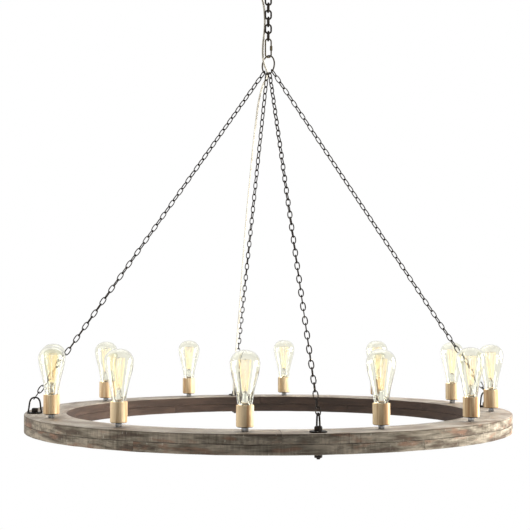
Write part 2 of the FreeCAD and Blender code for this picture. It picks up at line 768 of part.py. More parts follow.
def bulb_base(number):
    """One bulb's screw cap, the glass flue on it and the filament cage on the flue."""
    place = polar(SOCKET_CIRCLE_RADIUS, socket_angles()[number - 1])
    flue_top = CAP_TOP_Z + FLUE_LENGTH
    cage_top = flue_top + FILAMENT_LENGTH
    cap = [
        (0, CAP_Z),
        (CAP_CONTACT_RADIUS, CAP_Z),
        (CAP_RADIUS, CAP_Z + CAP_INSULATOR_HEIGHT),
        (CAP_RADIUS, CAP_TOP_Z),
        (0, CAP_TOP_Z),
    ]
    flue = [(0, CAP_TOP_Z), (FLUE_RADIUS, CAP_TOP_Z), (FLUE_TOP_RADIUS, flue_top), (0, flue_top)]
    cage = [
        (0, flue_top),
        (FILAMENT_FOOT_WIDTH / 2, flue_top),
        (FILAMENT_WIDTH / 2, cage_top),
        (0, cage_top),
    ]
    solids = [turned(cap, SOCKET_SIDES, place)]
    solids += [turned(profile, FILAMENT_SIDES, place) for profile in (flue, cage)]
    return Part.makeCompound(solids)


# === cord ================================================================================
# Height above the wheel's top, then x and y: down beside the chain, past the left of the
# quick link, in through the gathering ring, and down beside the rear leg chain.
CORD_ROUTE = (
    (1078.0, -18.6, 8.9),
    (1046.0, -12.6, 7.9),
    (1010.0, -10.2, 7.0),
    (978.0, -12.2, 5.6),
    (950.0, -15.8, 3.2),
    (924.0, -16.2, 3.4),
    (902.0, -13.2, 6.4),
    (886.0, -7.8, 6.6),
    (869.8, 1.1, 10.8),
    (857.8, -1.1, 21.9),
    (842.8, -8.8, 34.2),
    (804.0, -16.6, 53.0),
    (752.0, -19.0, 82.0),
    (690.0, -20.0, 121.0),
    (626.0, -19.4, 165.0),
    (560.0, -19.0, 210.0),
    (493.0, -18.0, 256.6),
    (427.0, -16.0, 302.2),
    (361.0, -13.8, 348.4),
    (296.0, -11.4, 394.6),
    (233.0, -9.6, 438.8),
    (174.0, -8.6, 479.2),
    (122.0, -8.2, 512.4),
    (76.0, -8.8, 535.5),
)


def cord_points():
    """The cord's route from the bushing to the grommet."""
    start = bushing_place(-CANOPY_DEPTH - BUSHING_FLANGE_HEIGHT)
    end = polar(GROMMET_CIRCLE_RADIUS, GROMMET_ANGLE, WHEEL_Z + GROMMET_FLANGE_HEIGHT)
    route = [Vector(x, y, WHEEL_Z + height) for height, x, y in CORD_ROUTE]
    drop, rise = Vector(0, 0, -CORD_DROP), Vector(0, 0, CORD_RISE)
    return [start, start + drop] + route + [end + rise, end]


def cord():
    """The flat twin cord, as straight runs joined by tangent arcs."""
    points = cord_points()
    edges, here, length, radii = [], points[0], 0.0, []
    for before, corner, after in zip(points, points[1:], points[2:]):
        entry, leave = before - corner, after - corner
        shorter = min(entry.Length, leave.Length)
        half_turn = (math.pi - entry.getAngle(leave)) / 2
        cut = 0.45 * shorter
        radius = cut / math.tan(half_turn)
        start = corner + entry / entry.Length * cut
        end = corner + leave / leave.Length * cut
        towards = entry / entry.Length + leave / leave.Length
        towards = towards / towards.Length
        middle = corner + towards * (radius / math.cos(half_turn) - radius)
        edges += [Part.makeLine(here, start), Part.Arc(start, middle, end).toShape()]
        length += (start - here).Length + radius * 2 * half_turn
        radii.append(radius)
        here = end
    edges.append(Part.makeLine(here, points[-1]))
    length += (points[-1] - here).Length
    spine = Part.Wire(edges)
    wide, thick = CORD_WIDTH / 2, CORD_THICKNESS / 2
    section = [(-wide, -thick), (wide, -thick), (wide, thick), (-wide, thick)]
    corners = [points[0] + Vector(x, y, 0) for x, y in section]
    outline = Part.makePolygon(corners + corners[:1])
    solid = spine.makePipeShell([outline], True, False)
    expected = length * CORD_WIDTH * CORD_THICKNESS
    print("cord radii", " ".join(f"{r:.0f}" for r in radii))
    print(f"cord length {length:.1f}, volume {solid.Volume:.0f}, section x length {expected:.0f}")
    return solid


# === all parts ===========================================================================
def pieces():
    """Each node's name and shape."""
    made = {
        "crossbar": crossbar(),
        "canopy": canopy(),
        "canopy_nipple": canopy_nipple(),
        "canopy_locknut": canopy_locknut(),
        "canopy_loop": canopy_loop(),
        "cord_bushing": cord_bushing(),
        "quick_link": quick_link(),
        "quick_link_nut": quick_link_nut(),
        "gather_ring": gather_ring(),
        "chain_arches": chain_arches(),
        "bracket_discs": bracket_discs(),
        "bracket_bolts": bracket_bolts(),
        "bracket_nuts": bracket_nuts(),
        "upper_felloes": upper_felloes(),
        "lower_felloes": lower_felloes(),
        "wiring_harness": wiring_harness(),
        "cord_grommet": cord_grommet(),
        "cord": cord(),
        "socket_stems": socket_stems(),
        "socket_covers": socket_covers(),
        "lampholders": lampholders(),
    }
    for number in range(1, MAIN_LINKS + 1):
        made[f"main_link_{number}"] = main_link(number)
    for name, ring_angle, leg_angle in zip(LEG_NAMES, LEG_RING_ANGLES, LEG_ANGLES):
        made[f"leg_chain_{name}"] = leg_chain(ring_angle, leg_angle)
    for number in range(1, SOCKETS + 1):
        made[f"glass_bulb_{number}"] = glass_bulb(number)
        made[f"bulb_base_{number}"] = bulb_base(number)
    return made


def main():
    """Builds every node and writes it as a STEP file."""
    os.makedirs("parts", exist_ok=True)
    print(f"wheel top z {WHEEL_Z:.2f}, ring z {RING_Z:.2f}, first link z {FIRST_LINK_Z:.2f}")
    for name, shape in pieces().items():
        if not shape.isValid():
            print(name, "isn't valid")
        shape.exportStep(f"parts/{name}.step")


main()
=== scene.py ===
import json
import logging
import math
from dataclasses import dataclass
from enum import Enum
from typing import Callable, Sequence

import bpy
from mathutils import Matrix, Vector

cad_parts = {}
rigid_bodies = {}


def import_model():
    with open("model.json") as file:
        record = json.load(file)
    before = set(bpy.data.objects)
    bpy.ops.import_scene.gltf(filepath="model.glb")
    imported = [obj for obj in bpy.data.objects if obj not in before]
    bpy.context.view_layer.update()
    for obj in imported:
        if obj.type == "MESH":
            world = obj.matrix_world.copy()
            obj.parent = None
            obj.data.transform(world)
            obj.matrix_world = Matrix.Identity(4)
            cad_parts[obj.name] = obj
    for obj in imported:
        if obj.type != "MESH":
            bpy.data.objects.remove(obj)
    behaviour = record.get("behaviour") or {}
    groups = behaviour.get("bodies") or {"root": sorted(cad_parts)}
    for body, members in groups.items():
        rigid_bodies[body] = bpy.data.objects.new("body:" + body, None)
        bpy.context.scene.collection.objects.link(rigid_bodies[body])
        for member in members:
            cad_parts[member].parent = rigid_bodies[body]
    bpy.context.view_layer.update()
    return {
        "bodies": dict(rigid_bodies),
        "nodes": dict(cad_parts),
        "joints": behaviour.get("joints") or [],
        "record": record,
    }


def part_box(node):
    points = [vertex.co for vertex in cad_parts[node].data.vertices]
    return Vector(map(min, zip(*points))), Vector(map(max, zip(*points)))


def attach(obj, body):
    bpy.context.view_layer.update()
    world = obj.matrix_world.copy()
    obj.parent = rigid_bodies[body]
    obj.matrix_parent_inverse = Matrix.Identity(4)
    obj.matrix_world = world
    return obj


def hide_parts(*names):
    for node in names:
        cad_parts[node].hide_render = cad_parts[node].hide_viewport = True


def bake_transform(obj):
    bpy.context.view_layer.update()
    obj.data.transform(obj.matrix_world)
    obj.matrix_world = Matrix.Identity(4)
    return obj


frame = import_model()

# A wagon wheel chandelier: the looks of each piece, dressed on the construction frame.
# Sizes are in metres, +Z is up and the ceiling is at z = 0.

LOG = logging.getLogger("chandelier")
Colour = tuple[float, float, float]
Outline = Sequence[tuple[float, float]]
POLE = 1e-6  # a radius or distance too small to see
HEXAGON = 6

# Places and sizes that more than one assembly uses.
CANOPY_DEPTH = 0.030
BUSHING_RADIUS, BUSHING_ANGLE, BUSHING_Z = 0.024, 160.0, -0.033
RING_WIRE, RING_WIDTH, RING_TURN = 0.0038, 0.0482, -60.0
BRACKET_CIRCLE = 0.584
BRACKET_ANGLES = (0.0, 90.0, 180.0, 270.0)
ARCH_WIRE = 0.0040
GROMMET_RADIUS, GROMMET_ANGLE = 0.545, 91.0
SOCKET_COUNT = 12
SOCKET_CIRCLE = 0.5615


def anywhere(place: Vector) -> bool:
    """Says of every point that it is wanted."""
    return True


# === modelling bench =======================================================================
class Bench:
    """The modelling bench: starting, shaping, finishing and copying a mesh."""

    @staticmethod
    def clear() -> None:
        """Leaves edit mode and deselects everything."""
        if bpy.context.mode != "OBJECT":
            bpy.ops.object.mode_set(mode="OBJECT")
        bpy.ops.object.select_all(action="DESELECT")

    @staticmethod
    def take(piece: bpy.types.Object) -> None:
        """Selects one piece alone and makes it the active one.

        Args:
            piece: The mesh object.
        """
        Bench.clear()
        piece.select_set(True)
        bpy.context.view_layer.objects.active = piece

    @staticmethod
    def started(name: str) -> bpy.types.Object:
        """Names the primitive just added and puts its place in its mesh.

        Args:
            name: The piece's name.

        Returns:
            The mesh object.
        """
        piece = bpy.context.object
        piece.name = piece.data.name = name
        bpy.ops.object.transform_apply(location=True, rotation=True, scale=True)
        return piece

    @staticmethod
    def pick(piece: bpy.types.Object, wanted: Callable[[Vector], bool] = anywhere) -> None:
        """Enters edit mode with all or only some points of a piece selected.

        Args:
            piece: The mesh object.
            wanted: Says of a point's place whether it is selected.
        """
        Bench.take(piece)
        bpy.ops.object.mode_set(mode="EDIT")
        bpy.ops.mesh.select_mode(type="VERT")
        bpy.ops.mesh.select_all(action="DESELECT")
        bpy.ops.object.mode_set(mode="OBJECT")
        for point in piece.data.vertices:
            point.select = wanted(point.co)
        bpy.ops.object.mode_set(mode="EDIT")

    @staticmethod
    def close(piece: bpy.types.Object) -> None:
        """Merges doubled points, drops loose ones and turns all faces outwards.

        Args:
            piece: The mesh object.
        """
        Bench.pick(piece)
        bpy.ops.mesh.remove_doubles(threshold=10 * POLE)
        bpy.ops.mesh.delete_loose()
        bpy.ops.mesh.select_all(action="SELECT")
        bpy.ops.mesh.normals_make_consistent(inside=False)
        bpy.ops.object.mode_set(mode="OBJECT")

    @staticmethod
    def lid(piece: bpy.types.Object, wanted: Callable[[Vector], bool]) -> None:
        """Closes an open rim of a piece with one face.

        Args:
            piece: The mesh object.
            wanted: Says of a point's place whether it is on the rim.
        """
        Bench.pick(piece, wanted)
        bpy.ops.mesh.edge_face_add()
        Bench.close(piece)

    @staticmethod
    def turn(name: str, outline: Outline, sides: int, closed: bool = False) -> bpy.types.Object:
        """Turns a piece about the Z axis, extruding a circle along its outline.

        Args:
            name: The piece's name.
            outline: (radius, height) pairs, the first off the axis; a radius of 0 is a pole.
            sides: How many sides the circle has.
            closed: Whether the outline's end joins its start, as on a tube.

        Returns:
            The mesh object.
        """
        Bench.clear()
        radius, height = outline[0]
        bpy.ops.mesh.primitive_circle_add(vertices=sides, radius=radius, location=(0, 0, height))
        piece = Bench.started(name)
        Bench.pick(piece)
        for wide, high in list(outline[1:]) + (list(outline[:1]) if closed else []):
            wide = max(wide, POLE)
            move = {"value": (0, 0, high - height)}
            bpy.ops.mesh.extrude_region_move(TRANSFORM_OT_translate=move)
            grow = wide / radius
            bpy.ops.transform.resize(value=(grow, grow, 1), center_override=(0, 0, high))
            radius, height = wide, high
        Bench.close(piece)
        return piece

    @staticmethod
    def oval(
        name: str, length: float, width: float, wire: float, around: int, sides: int
    ) -> bpy.types.Object:
        """Bends an upright oval of round wire: a torus whose two halves are pulled apart.

        Args:
            name: The piece's name.
            length: The height of the wire's centre line.
            width: The width of the wire's centre line.
            wire: The wire's diameter.
            around: How many sections lie round the oval, an even number.
            sides: How many sides the wire has.

        Returns:
            The mesh object, in the XZ plane about the origin.
        """
        Bench.clear()
        bpy.ops.mesh.primitive_torus_add(
            major_segments=around,
            minor_segments=sides,
            major_radius=width / 2,
            minor_radius=wire / 2,
        )
        piece = Bench.started(name)
        piece.data.transform(Matrix.Rotation(math.pi / around, 4, "Z"))
        piece.data.transform(Matrix.Rotation(math.pi / 2, 4, "X"))
        straight = (length - width) / 2
        if straight > 0:
            for side in (1, -1):
                Bench.pick(piece, lambda place: place.z * side > 0)
                bpy.ops.transform.translate(value=(0, 0, side * straight))
        Bench.close(piece)
        return piece

    @staticmethod
    def wire(
        name: str, points: Sequence[Vector], diameter: float, level: int = 2, order: int = 3
    ) -> bpy.types.Object:
        """Draws a round wire along a smooth curve through given points.

        Args:
            name: The piece's name.
            points: The curve's control points.
            diameter: The wire's diameter.
            level: How fine the section is: 4 sides and 2 more for each level.
            order: The curve's order; 2 keeps its corners.

        Returns:
            The mesh object.
        """
        Bench.clear()
        line = bpy.data.curves.new(name, "CURVE")
        line.dimensions = "3D"
        line.bevel_depth = diameter / 2
        line.bevel_resolution = level
        line.resolution_u = 6
        line.use_fill_caps = True
        spline = line.splines.new("NURBS")
        spline.points.add(len(points) - 1)
        for control, place in zip(spline.points, points):
            control.co = (*place, 1)
        spline.order_u = order
        spline.use_endpoint_u = True
        piece = bpy.data.objects.new(name, line)
        bpy.context.scene.collection.objects.link(piece)
        Bench.take(piece)
        bpy.ops.object.convert(target="MESH")
        Bench.close(piece)
        return piece

    @staticmethod
    def bevel(piece: bpy.types.Object, width: float, segments: int = 2, angle: float = 40) -> None:
        """Rounds the sharp edges of a piece.

        Args:
            piece: The mesh object.
            width: How wide the rounding is.
            segments: How many faces it has across.
            angle: Edges sharper than this, in degrees, are rounded.
        """
        modifier = piece.modifiers.new("Edges", "BEVEL")
        modifier.width = width
        modifier.segments = segments
        modifier.limit_method = "ANGLE"
        modifier.angle_limit = math.radians(angle)
        modifier.harden_normals = False
        Bench.take(piece)
        bpy.ops.object.modifier_apply(modifier=modifier.name)

    @staticmethod
    def smooth(piece: bpy.types.Object, angle: float = 40) -> None:
        """Shades a piece smooth but for edges sharper than an angle in degrees."""
        Bench.take(piece)
        bpy.ops.object.shade_smooth_by_angle(angle=math.radians(angle))

    @staticmethod
    def copies(
        pattern: bpy.types.Object, places: Sequence[Matrix], name: str
    ) -> bpy.types.Object:
        """Joins copies of a pattern, each with its own mesh, into one piece.

        Args:
            pattern: The modelled piece, which is used up.
            places: Where each copy goes.
            name: The joined piece's name.

        Returns:
            The joined mesh object.
        """
        made = [Bench.copy(pattern, place, f"{name}_{i}") for i, place in enumerate(places)]
        bpy.data.objects.remove(pattern)
        return Bench.join(made, name)

    @staticmethod
    def copy(pattern: bpy.types.Object, place: Matrix, name: str) -> bpy.types.Object:
        """A copy of a pattern with its own mesh, moved to its place.

        Args:
            pattern: The modelled piece, which stays.
            place: Where the copy goes.
            name: The copy's name.

        Returns:
            The copy.
        """
        piece = pattern.copy()
        piece.data = pattern.data.copy()
        piece.name = piece.data.name = name
        piece.data.transform(place)
        bpy.context.scene.collection.objects.link(piece)
        return piece

    @staticmethod
    def join(made: Sequence[bpy.types.Object], name: str) -> bpy.types.Object:
        """Joins several meshes into one piece of a given name.

        Args:
            made: The meshes, which are used up.
            name: The joined piece's name.

        Returns:
            The joined mesh object.
        """
        Bench.clear()
        for piece in made:
            piece.select_set(True)
        bpy.context.view_layer.objects.active = made[0]
        bpy.ops.object.join()
        made[0].name = made[0].data.name = name
        return made[0]


def polar(radius: float, degrees: float, z: float = 0.0) -> Vector:
    """The point at a radius and angle about the Z axis."""
    angle = math.radians(degrees)
    return Vector((radius * math.cos(angle), radius * math.sin(angle), z))


def standing(place: Vector, degrees: float = 0.0) -> Matrix:
    """The place of a piece turned about the vertical and moved."""
    return Matrix.Translation(place) @ Matrix.Rotation(math.radians(degrees), 4, "Z")


def framed(across: Vector, along: Vector, place: Vector) -> Matrix:
    """The place of a piece whose own X runs across and whose own Z runs along.

    Args:
        across: The direction that its own X takes.
        along: The direction that its own Z takes.
        place: Where its own origin goes.

    Returns:
        The place, as a matrix.
    """
    side = along.cross(across)
    turn = Matrix((across, side, along)).transposed().to_4x4()
    return Matrix.Translation(place) @ turn


# === finishes ==============================================================================
class Value:
    """A number, colour or vector on its way through a finish's nodes."""

    def __init__(self, sheet: "NodeSheet", socket: bpy.types.NodeSocket) -> None:
        """Wraps an output socket of a sheet's nodes."""
        self.sheet = sheet
        self.socket = socket

    def __add__(self, other: "Value | float") -> "Value":
        """Adds a value or a number."""
        return self.sheet.maths("ADD", self, other)

    __radd__ = __add__

    def __sub__(self, other: "Value | float") -> "Value":
        """Takes a value or a number away."""
        return self.sheet.maths("SUBTRACT", self, other)

    def __rsub__(self, other: float) -> "Value":
        """Takes this value away from a number."""
        return self.sheet.maths("SUBTRACT", other, self)

    def __mul__(self, other: "Value | float") -> "Value":
        """Multiplies by a value or a number."""
        return self.sheet.maths("MULTIPLY", self, other)

    __rmul__ = __mul__

    def __abs__(self) -> "Value":
        """The value without its sign."""
        return self.sheet.maths("ABSOLUTE", self, 0.0)

    def __pow__(self, other: float) -> "Value":
        """Raises to a power."""
        return self.sheet.maths("POWER", self, other)


class NodeSheet:
    """The nodes of one finish, added by short expressions."""

    def __init__(self, tree: bpy.types.NodeTree) -> None:
        """Starts on an empty node tree."""
        self.tree = tree
        tree.nodes.clear()

    def node(self, kind: str, settings: dict, inputs: dict) -> bpy.types.Node:
        """Adds a node.

        Args:
            kind: The node's type.
            settings: Its properties; "stops" holds a ramp's (place, colour) pairs.
            inputs: The values or links of its sockets, by name or number.

        Returns:
            The node.
        """
        node = self.tree.nodes.new(kind)
        for name, setting in settings.items():
            if name == "stops":
                elements = node.color_ramp.elements
                while len(elements) < len(setting):
                    elements.new(0.5)
                for element, (place, colour) in zip(elements, setting):
                    element.position = place
                    element.color = (*colour, 1)
            else:
                setattr(node, name, setting)
        for name, given in inputs.items():
            if isinstance(given, Value):
                self.tree.links.new(given.socket, node.inputs[name])
            else:
                node.inputs[name].default_value = given
        return node

    def value(self, kind: str, settings: dict, inputs: dict, output: int | str = 0) -> Value:
        """Adds a node and takes one of its outputs."""
        return Value(self, self.node(kind, settings, inputs).outputs[output])

    def maths(self, operation: str, first: Value | float, second: Value | float) -> Value:
        """Adds a Math node on two values."""
        return self.value("ShaderNodeMath", {"operation": operation}, {0: first, 1: second})

    def larger(self, first: Value, second: Value) -> Value:
        """The larger of two values."""
        return self.maths("MAXIMUM", first, second)

    def place(self) -> Value:
        """The surface's place in the row frame."""
        return self.value("ShaderNodeTexCoord", {}, {}, "Object")

    def normal(self) -> Value:
        """The surface's direction in the row frame."""
        return self.value("ShaderNodeTexCoord", {}, {}, "Normal")

    def attribute(self, name: str) -> Value:
        """A vector stored on the mesh's points."""
        return self.value("ShaderNodeAttribute", {"attribute_name": name}, {}, "Vector")

    def stretched(self, vector: Value, scale: Colour) -> Value:
        """A vector times a scale along each axis."""
        return self.value("ShaderNodeVectorMath", {"operation": "MULTIPLY"}, {0: vector, 1: scale})

    def unit(self, vector: Value) -> Value:
        """A vector's direction."""
        return self.value("ShaderNodeVectorMath", {"operation": "NORMALIZE"}, {0: vector})

    def dot(self, first: Value, second: Value) -> Value:
        """The dot product of two vectors."""
        settings = {"operation": "DOT_PRODUCT"}
        return self.value("ShaderNodeVectorMath", settings, {0: first, 1: second}, 1)

    def part(self, vector: Value, axis: str) -> Value:
        """One coordinate of a vector."""
        return self.value("ShaderNodeSeparateXYZ", {}, {0: vector}, axis)

    def noise(
        self, vector: Value, scale: float = 1.0, detail: float = 3.0, rough: float = 0.5
    ) -> Value:
        """Cloudy noise from 0 to 1, centred on a half."""
        inputs = {"Vector": vector, "Scale": scale, "Detail": detail, "Roughness": rough}
        return self.value("ShaderNodeTexNoise", {}, inputs)

    def step(self, given: Value, low: float, high: float) -> Value:
        """A smooth step from 0 at low to 1 at high."""
        settings = {"interpolation_type": "SMOOTHSTEP"}
        return self.value("ShaderNodeMapRange", settings, {0: given, 1: low, 2: high})

    def ramp(self, given: Value, stops: Sequence[tuple[float, Colour]]) -> Value:
        """A colour picked along a ramp."""
        return self.value("ShaderNodeValToRGB", {"stops": stops}, {0: given})

    def mix(self, factor: Value | float, first: Value | Colour, second: Value | Colour) -> Value:
        """A blend of two colours.

        Args:
            factor: 0 gives the first colour and 1 the second.
            first: A colour.
            second: Another colour.

        Returns:
            The blend.
        """
        pair = [c if isinstance(c, Value) else (*c, 1) for c in (first, second)]
        inputs = {0: factor, 6: pair[0], 7: pair[1]}
        return self.value("ShaderNodeMix", {"data_type": "RGBA"}, inputs, 2)

    def tinted(self, colour: Value | Colour, shade: Value) -> Value:
        """A colour made darker or lighter by a number.

        Args:
            colour: The colour.
            shade: 1 leaves it as it is, and less is darker.

        Returns:
            The colour at that shade.
        """
        grey = self.value("ShaderNodeCombineColor", {}, {0: shade, 1: shade, 2: shade})
        given = colour if isinstance(colour, Value) else (*colour, 1)
        settings = {"data_type": "RGBA", "blend_type": "MULTIPLY"}
        return self.value("ShaderNodeMix", settings, {0: 1.0, 6: given, 7: grey}, 2)

    def bump(self, height: Value, distance: float, strength: float = 1.0) -> Value:
        """The surface's normal with small heights on it."""
        inputs = {"Height": height, "Distance": distance, "Strength": strength}
        return self.value("ShaderNodeBump", {}, inputs)

    def shader(self, inputs: dict) -> Value:
        """The main surface shader with its constants and links."""
        return self.value("ShaderNodeBsdfPrincipled", {}, inputs)

    def finish(self, surface: Value) -> None:
        """Sends a surface to the material's output."""
        self.node("ShaderNodeOutputMaterial", {}, {"Surface": surface})


@dataclass(frozen=True)
class Finish:
    """What a piece's surface is: its slot in the record and its nodes."""

    slot: str
    title: str

    def lay(self, sheet: NodeSheet) -> None:
        """Adds the finish's nodes to a sheet."""
        raise NotImplementedError

    def material(self) -> bpy.types.Material:
        """The finish's material, made the first time that it is asked for.

        Returns:
            The material.
        """
        made = bpy.data.materials.get(self.title)
        if made is None:
            made = bpy.data.materials.new(self.title)
            made.use_nodes = True
            self.lay(NodeSheet(made.node_tree))
        return made

    def on(self, piece: bpy.types.Object) -> bpy.types.Object:
        """Puts the finish on a piece.

        Args:
            piece: The mesh object.

        Returns:
            The piece.
        """
        piece.data.materials.clear()
        piece.data.materials.append(self.material())
        return piece


@dataclass(frozen=True)
class Metal(Finish):
    """Bare or coated metal, with cloudy tarnish, small specks and a fine unevenness."""

    colour: Colour
    tarnish: Colour
    metallic: float = 1.0
    roughness: float = 0.4
    speck: Colour = (0.0, 0.0, 0.0)
    specks: float = 0.0
    cloud: float = 90.0
    pits: float = 0.00008
    fine: float = 1400.0
    spot: float = 420.0
    uneven_gloss: float = 0.35

    def lay(self, sheet: NodeSheet) -> None:
        """Adds tarnish, specks, pits and an uneven gloss.

        Args:
            sheet: The material's nodes.
        """
        place = sheet.place()
        clouds = sheet.noise(place, self.cloud, detail=5.0, rough=0.6)
        fine = sheet.noise(place, self.fine, detail=3.0, rough=0.6)
        colour = sheet.mix(sheet.step(clouds, 0.38, 0.66), self.colour, self.tarnish)
        spots = sheet.step(sheet.noise(place, self.spot, detail=2.0, rough=0.5), 0.60, 0.72)
        colour = sheet.mix(spots * self.specks, colour, self.speck)
        sheet.finish(
            sheet.shader(
                {
                    "Base Color": colour,
                    "Metallic": self.metallic,
                    "Roughness": self.roughness + (clouds - 0.5) * self.uneven_gloss,
                    "Normal": sheet.bump(fine + clouds, self.pits, 0.7),
                }
            )
        )


@dataclass(frozen=True)
class WeatheredWood(Finish):
    """Rough-sawn boards: grey-brown and sawn outside, painted paler on top where the light falls,
    dark brown inside, a stain with painted shade.
    """

    top_z: float
    seam_z: float
    dark: Colour = (0.064, 0.047, 0.034)
    grey: Colour = (0.128, 0.110, 0.082)
    tan: Colour = (0.225, 0.190, 0.145)
    red: Colour = (0.160, 0.092, 0.060)
    crack: Colour = (0.034, 0.024, 0.018)
    fleck: Colour = (0.46, 0.43, 0.37)
    # The top's colours are painted light: paler than the sawn face, as the light falls on the top.
    painted_light_top_dark: Colour = (0.150, 0.115, 0.085)
    painted_light_top_mid: Colour = (0.240, 0.202, 0.160)
    painted_light_top_pale: Colour = (0.330, 0.292, 0.245)
    # The inner wall's colours are partly a dark stain and partly painted shade inside the rim.
    inside: Colour = (0.046, 0.029, 0.021)
    inside_dark_stain_and_shade: Colour = (0.028, 0.018, 0.013)
    seam_wander: float = 0.0026
    edge_inset: float = 0.0022

    def lay(self, sheet: NodeSheet) -> None:
        """Adds the three faces' colours, saw marks, cracks and the seam between the layers.

        Args:
            sheet: The material's nodes.
        """
        board, place = sheet.attribute("board"), sheet.place()
        normal = sheet.normal()
        facing = sheet.dot(normal, sheet.unit(sheet.stretched(place, (1.0, 1.0, 0.0))))
        outer = sheet.step(facing, 0.35, 0.75)
        inner = sheet.step(facing, -0.35, -0.75)
        top = sheet.step(sheet.part(normal, "Z"), 0.50, 0.85)
        grain = self.streaks(sheet, board, (10.0, 230.0, 420.0))
        patches = self.streaks(sheet, board, (9.0, 22.0, 60.0))
        saw = self.streaks(sheet, board, (190.0, 9.0, 12.0)) - 0.5
        bite = self.streaks(sheet, board, (8.0, 10.0, 24.0))
        sawn = saw * sheet.step(bite, 0.38, 0.58) * outer
        shade = 1.0 + (grain - 0.5) * 1.1 + sawn * 1.7
        colour = sheet.tinted(self.outside(sheet, board, patches), shade)
        # Painted light: the top takes the paler colours, as the light falls on it.
        colour = sheet.mix(top, colour, sheet.tinted(self.upper(sheet, patches), shade))
        # Stain and painted shade: the inner wall takes the darkest colours.
        wall = sheet.mix(sheet.step(patches, 0.40, 0.60), self.inside_dark_stain_and_shade, self.inside)
        colour = sheet.mix(inner, colour, sheet.tinted(wall, 1.0 + (grain - 0.5) * 0.4))
        lines = self.lines(sheet, board, place, outer)
        colour = sheet.mix(lines, colour, self.crack)
        relief = grain * 0.5 * (1.0 - inner * 0.6) + sawn * 1.2 - lines * 1.4
        sheet.finish(
            sheet.shader(
                {
                    "Base Color": colour,
                    "Roughness": 0.74 - top * 0.20 + (patches - 0.5) * 0.3,
                    "Specular IOR Level": 0.3,
                    "Normal": sheet.bump(relief, 0.0006, 0.8),
                }
            )
        )

    def streaks(self, sheet: NodeSheet, board: Value, scale: Colour) -> Value:
        """Noise drawn out by its scales along, across and up a board."""
        return sheet.noise(sheet.stretched(board, scale), 1.0, detail=4.0, rough=0.6)

    def outside(self, sheet: NodeSheet, board: Value, patches: Value) -> Value:
        """The sawn face's colour: grey and tan patches, reddish ones and pale flecks.

        Args:
            sheet: The material's nodes.
            board: The place on its own board.
            patches: Large soft patches, from 0 to 1.

        Returns:
            The colour.
        """
        stops = [(0.40, self.dark), (0.50, self.grey), (0.60, self.tan)]
        colour = sheet.ramp(patches, stops)
        warmth = self.streaks(sheet, board, (14.0, 18.0, 50.0))
        colour = sheet.mix(sheet.step(warmth, 0.52, 0.66) * 0.7, colour, self.red)
        flecks = self.streaks(sheet, board, (430.0, 40.0, 80.0))
        return sheet.mix(sheet.step(flecks, 0.64, 0.72) * 0.6, colour, self.fleck)

    def upper(self, sheet: NodeSheet, patches: Value) -> Value:
        """The top's colour, painted paler where the light falls on it."""
        stops = [(0.38, self.painted_light_top_dark), (0.50, self.painted_light_top_mid), (0.62, self.painted_light_top_pale)]
        return sheet.ramp(patches, stops)

    def lines(self, sheet: NodeSheet, board: Value, place: Value, outer: Value) -> Value:
        """The dark lines: cracks along the grain, the seam and painted shade just under the upper
        edge.

        Args:
            sheet: The material's nodes.
            board: The place on its own board.
            place: The place in the row frame.
            outer: 1 on the wheel's outer face, else 0.

        Returns:
            1 on a line and 0 off it.
        """
        cracks = self.streaks(sheet, board, (7.0, 70.0, 480.0))
        split = sheet.step(cracks, 0.655, 0.69) * 0.75
        wander = self.streaks(sheet, board, (30.0, 30.0, 0.0))
        height = sheet.part(place, "Z")
        off_seam = abs(height - self.seam_z + (wander - 0.5) * self.seam_wander)
        seam = (1.0 - sheet.step(off_seam, 0.0002, 0.0011)) * sheet.step(wander, 0.36, 0.56)
        # Painted shade: a dark line just under the rounded upper edge of the outer face.
        off_edge = abs(height - self.top_z + self.edge_inset)
        edge = (1.0 - sheet.step(off_edge, 0.0003, 0.0014)) * outer * 0.5
        return sheet.larger(sheet.larger(split, seam * 0.8), edge)


@dataclass(frozen=True)
class PaleWood(Finish):
    """Turned pale wood with upright grain and a few darker bands."""

    light: Colour = (0.58, 0.450, 0.280)
    mid: Colour = (0.46, 0.325, 0.185)
    deep: Colour = (0.32, 0.190, 0.095)

    def lay(self, sheet: NodeSheet) -> None:
        """Adds growth bands, fine upright grain and short pores.

        Args:
            sheet: The material's nodes.
        """
        place = sheet.place()
        bands = sheet.noise(sheet.stretched(place, (95.0, 95.0, 4.0)), 1.0, detail=3.0, rough=0.55)
        colour = sheet.ramp(bands, [(0.40, self.deep), (0.48, self.mid), (0.58, self.light)])
        upright = sheet.stretched(place, (900.0, 900.0, 22.0))
        grain = sheet.noise(upright, 1.0, detail=3.0, rough=0.6)
        short = sheet.stretched(place, (1500.0, 1500.0, 90.0))
        pores = sheet.step(sheet.noise(short, 1.0, detail=2.0, rough=0.5), 0.62, 0.70)
        colour = sheet.tinted(colour, 1.0 + (grain - 0.5) * 0.45)
        colour = sheet.mix(pores * 0.35, colour, self.deep)
        sheet.finish(
            sheet.shader(
                {
                    "Base Color": colour,
                    "Roughness": 0.60 + (grain - 0.5) * 0.2,
                    "Specular IOR Level": 0.3,
                    "Normal": sheet.bump(grain - pores, 0.00008, 0.5),
                }
            )
        )


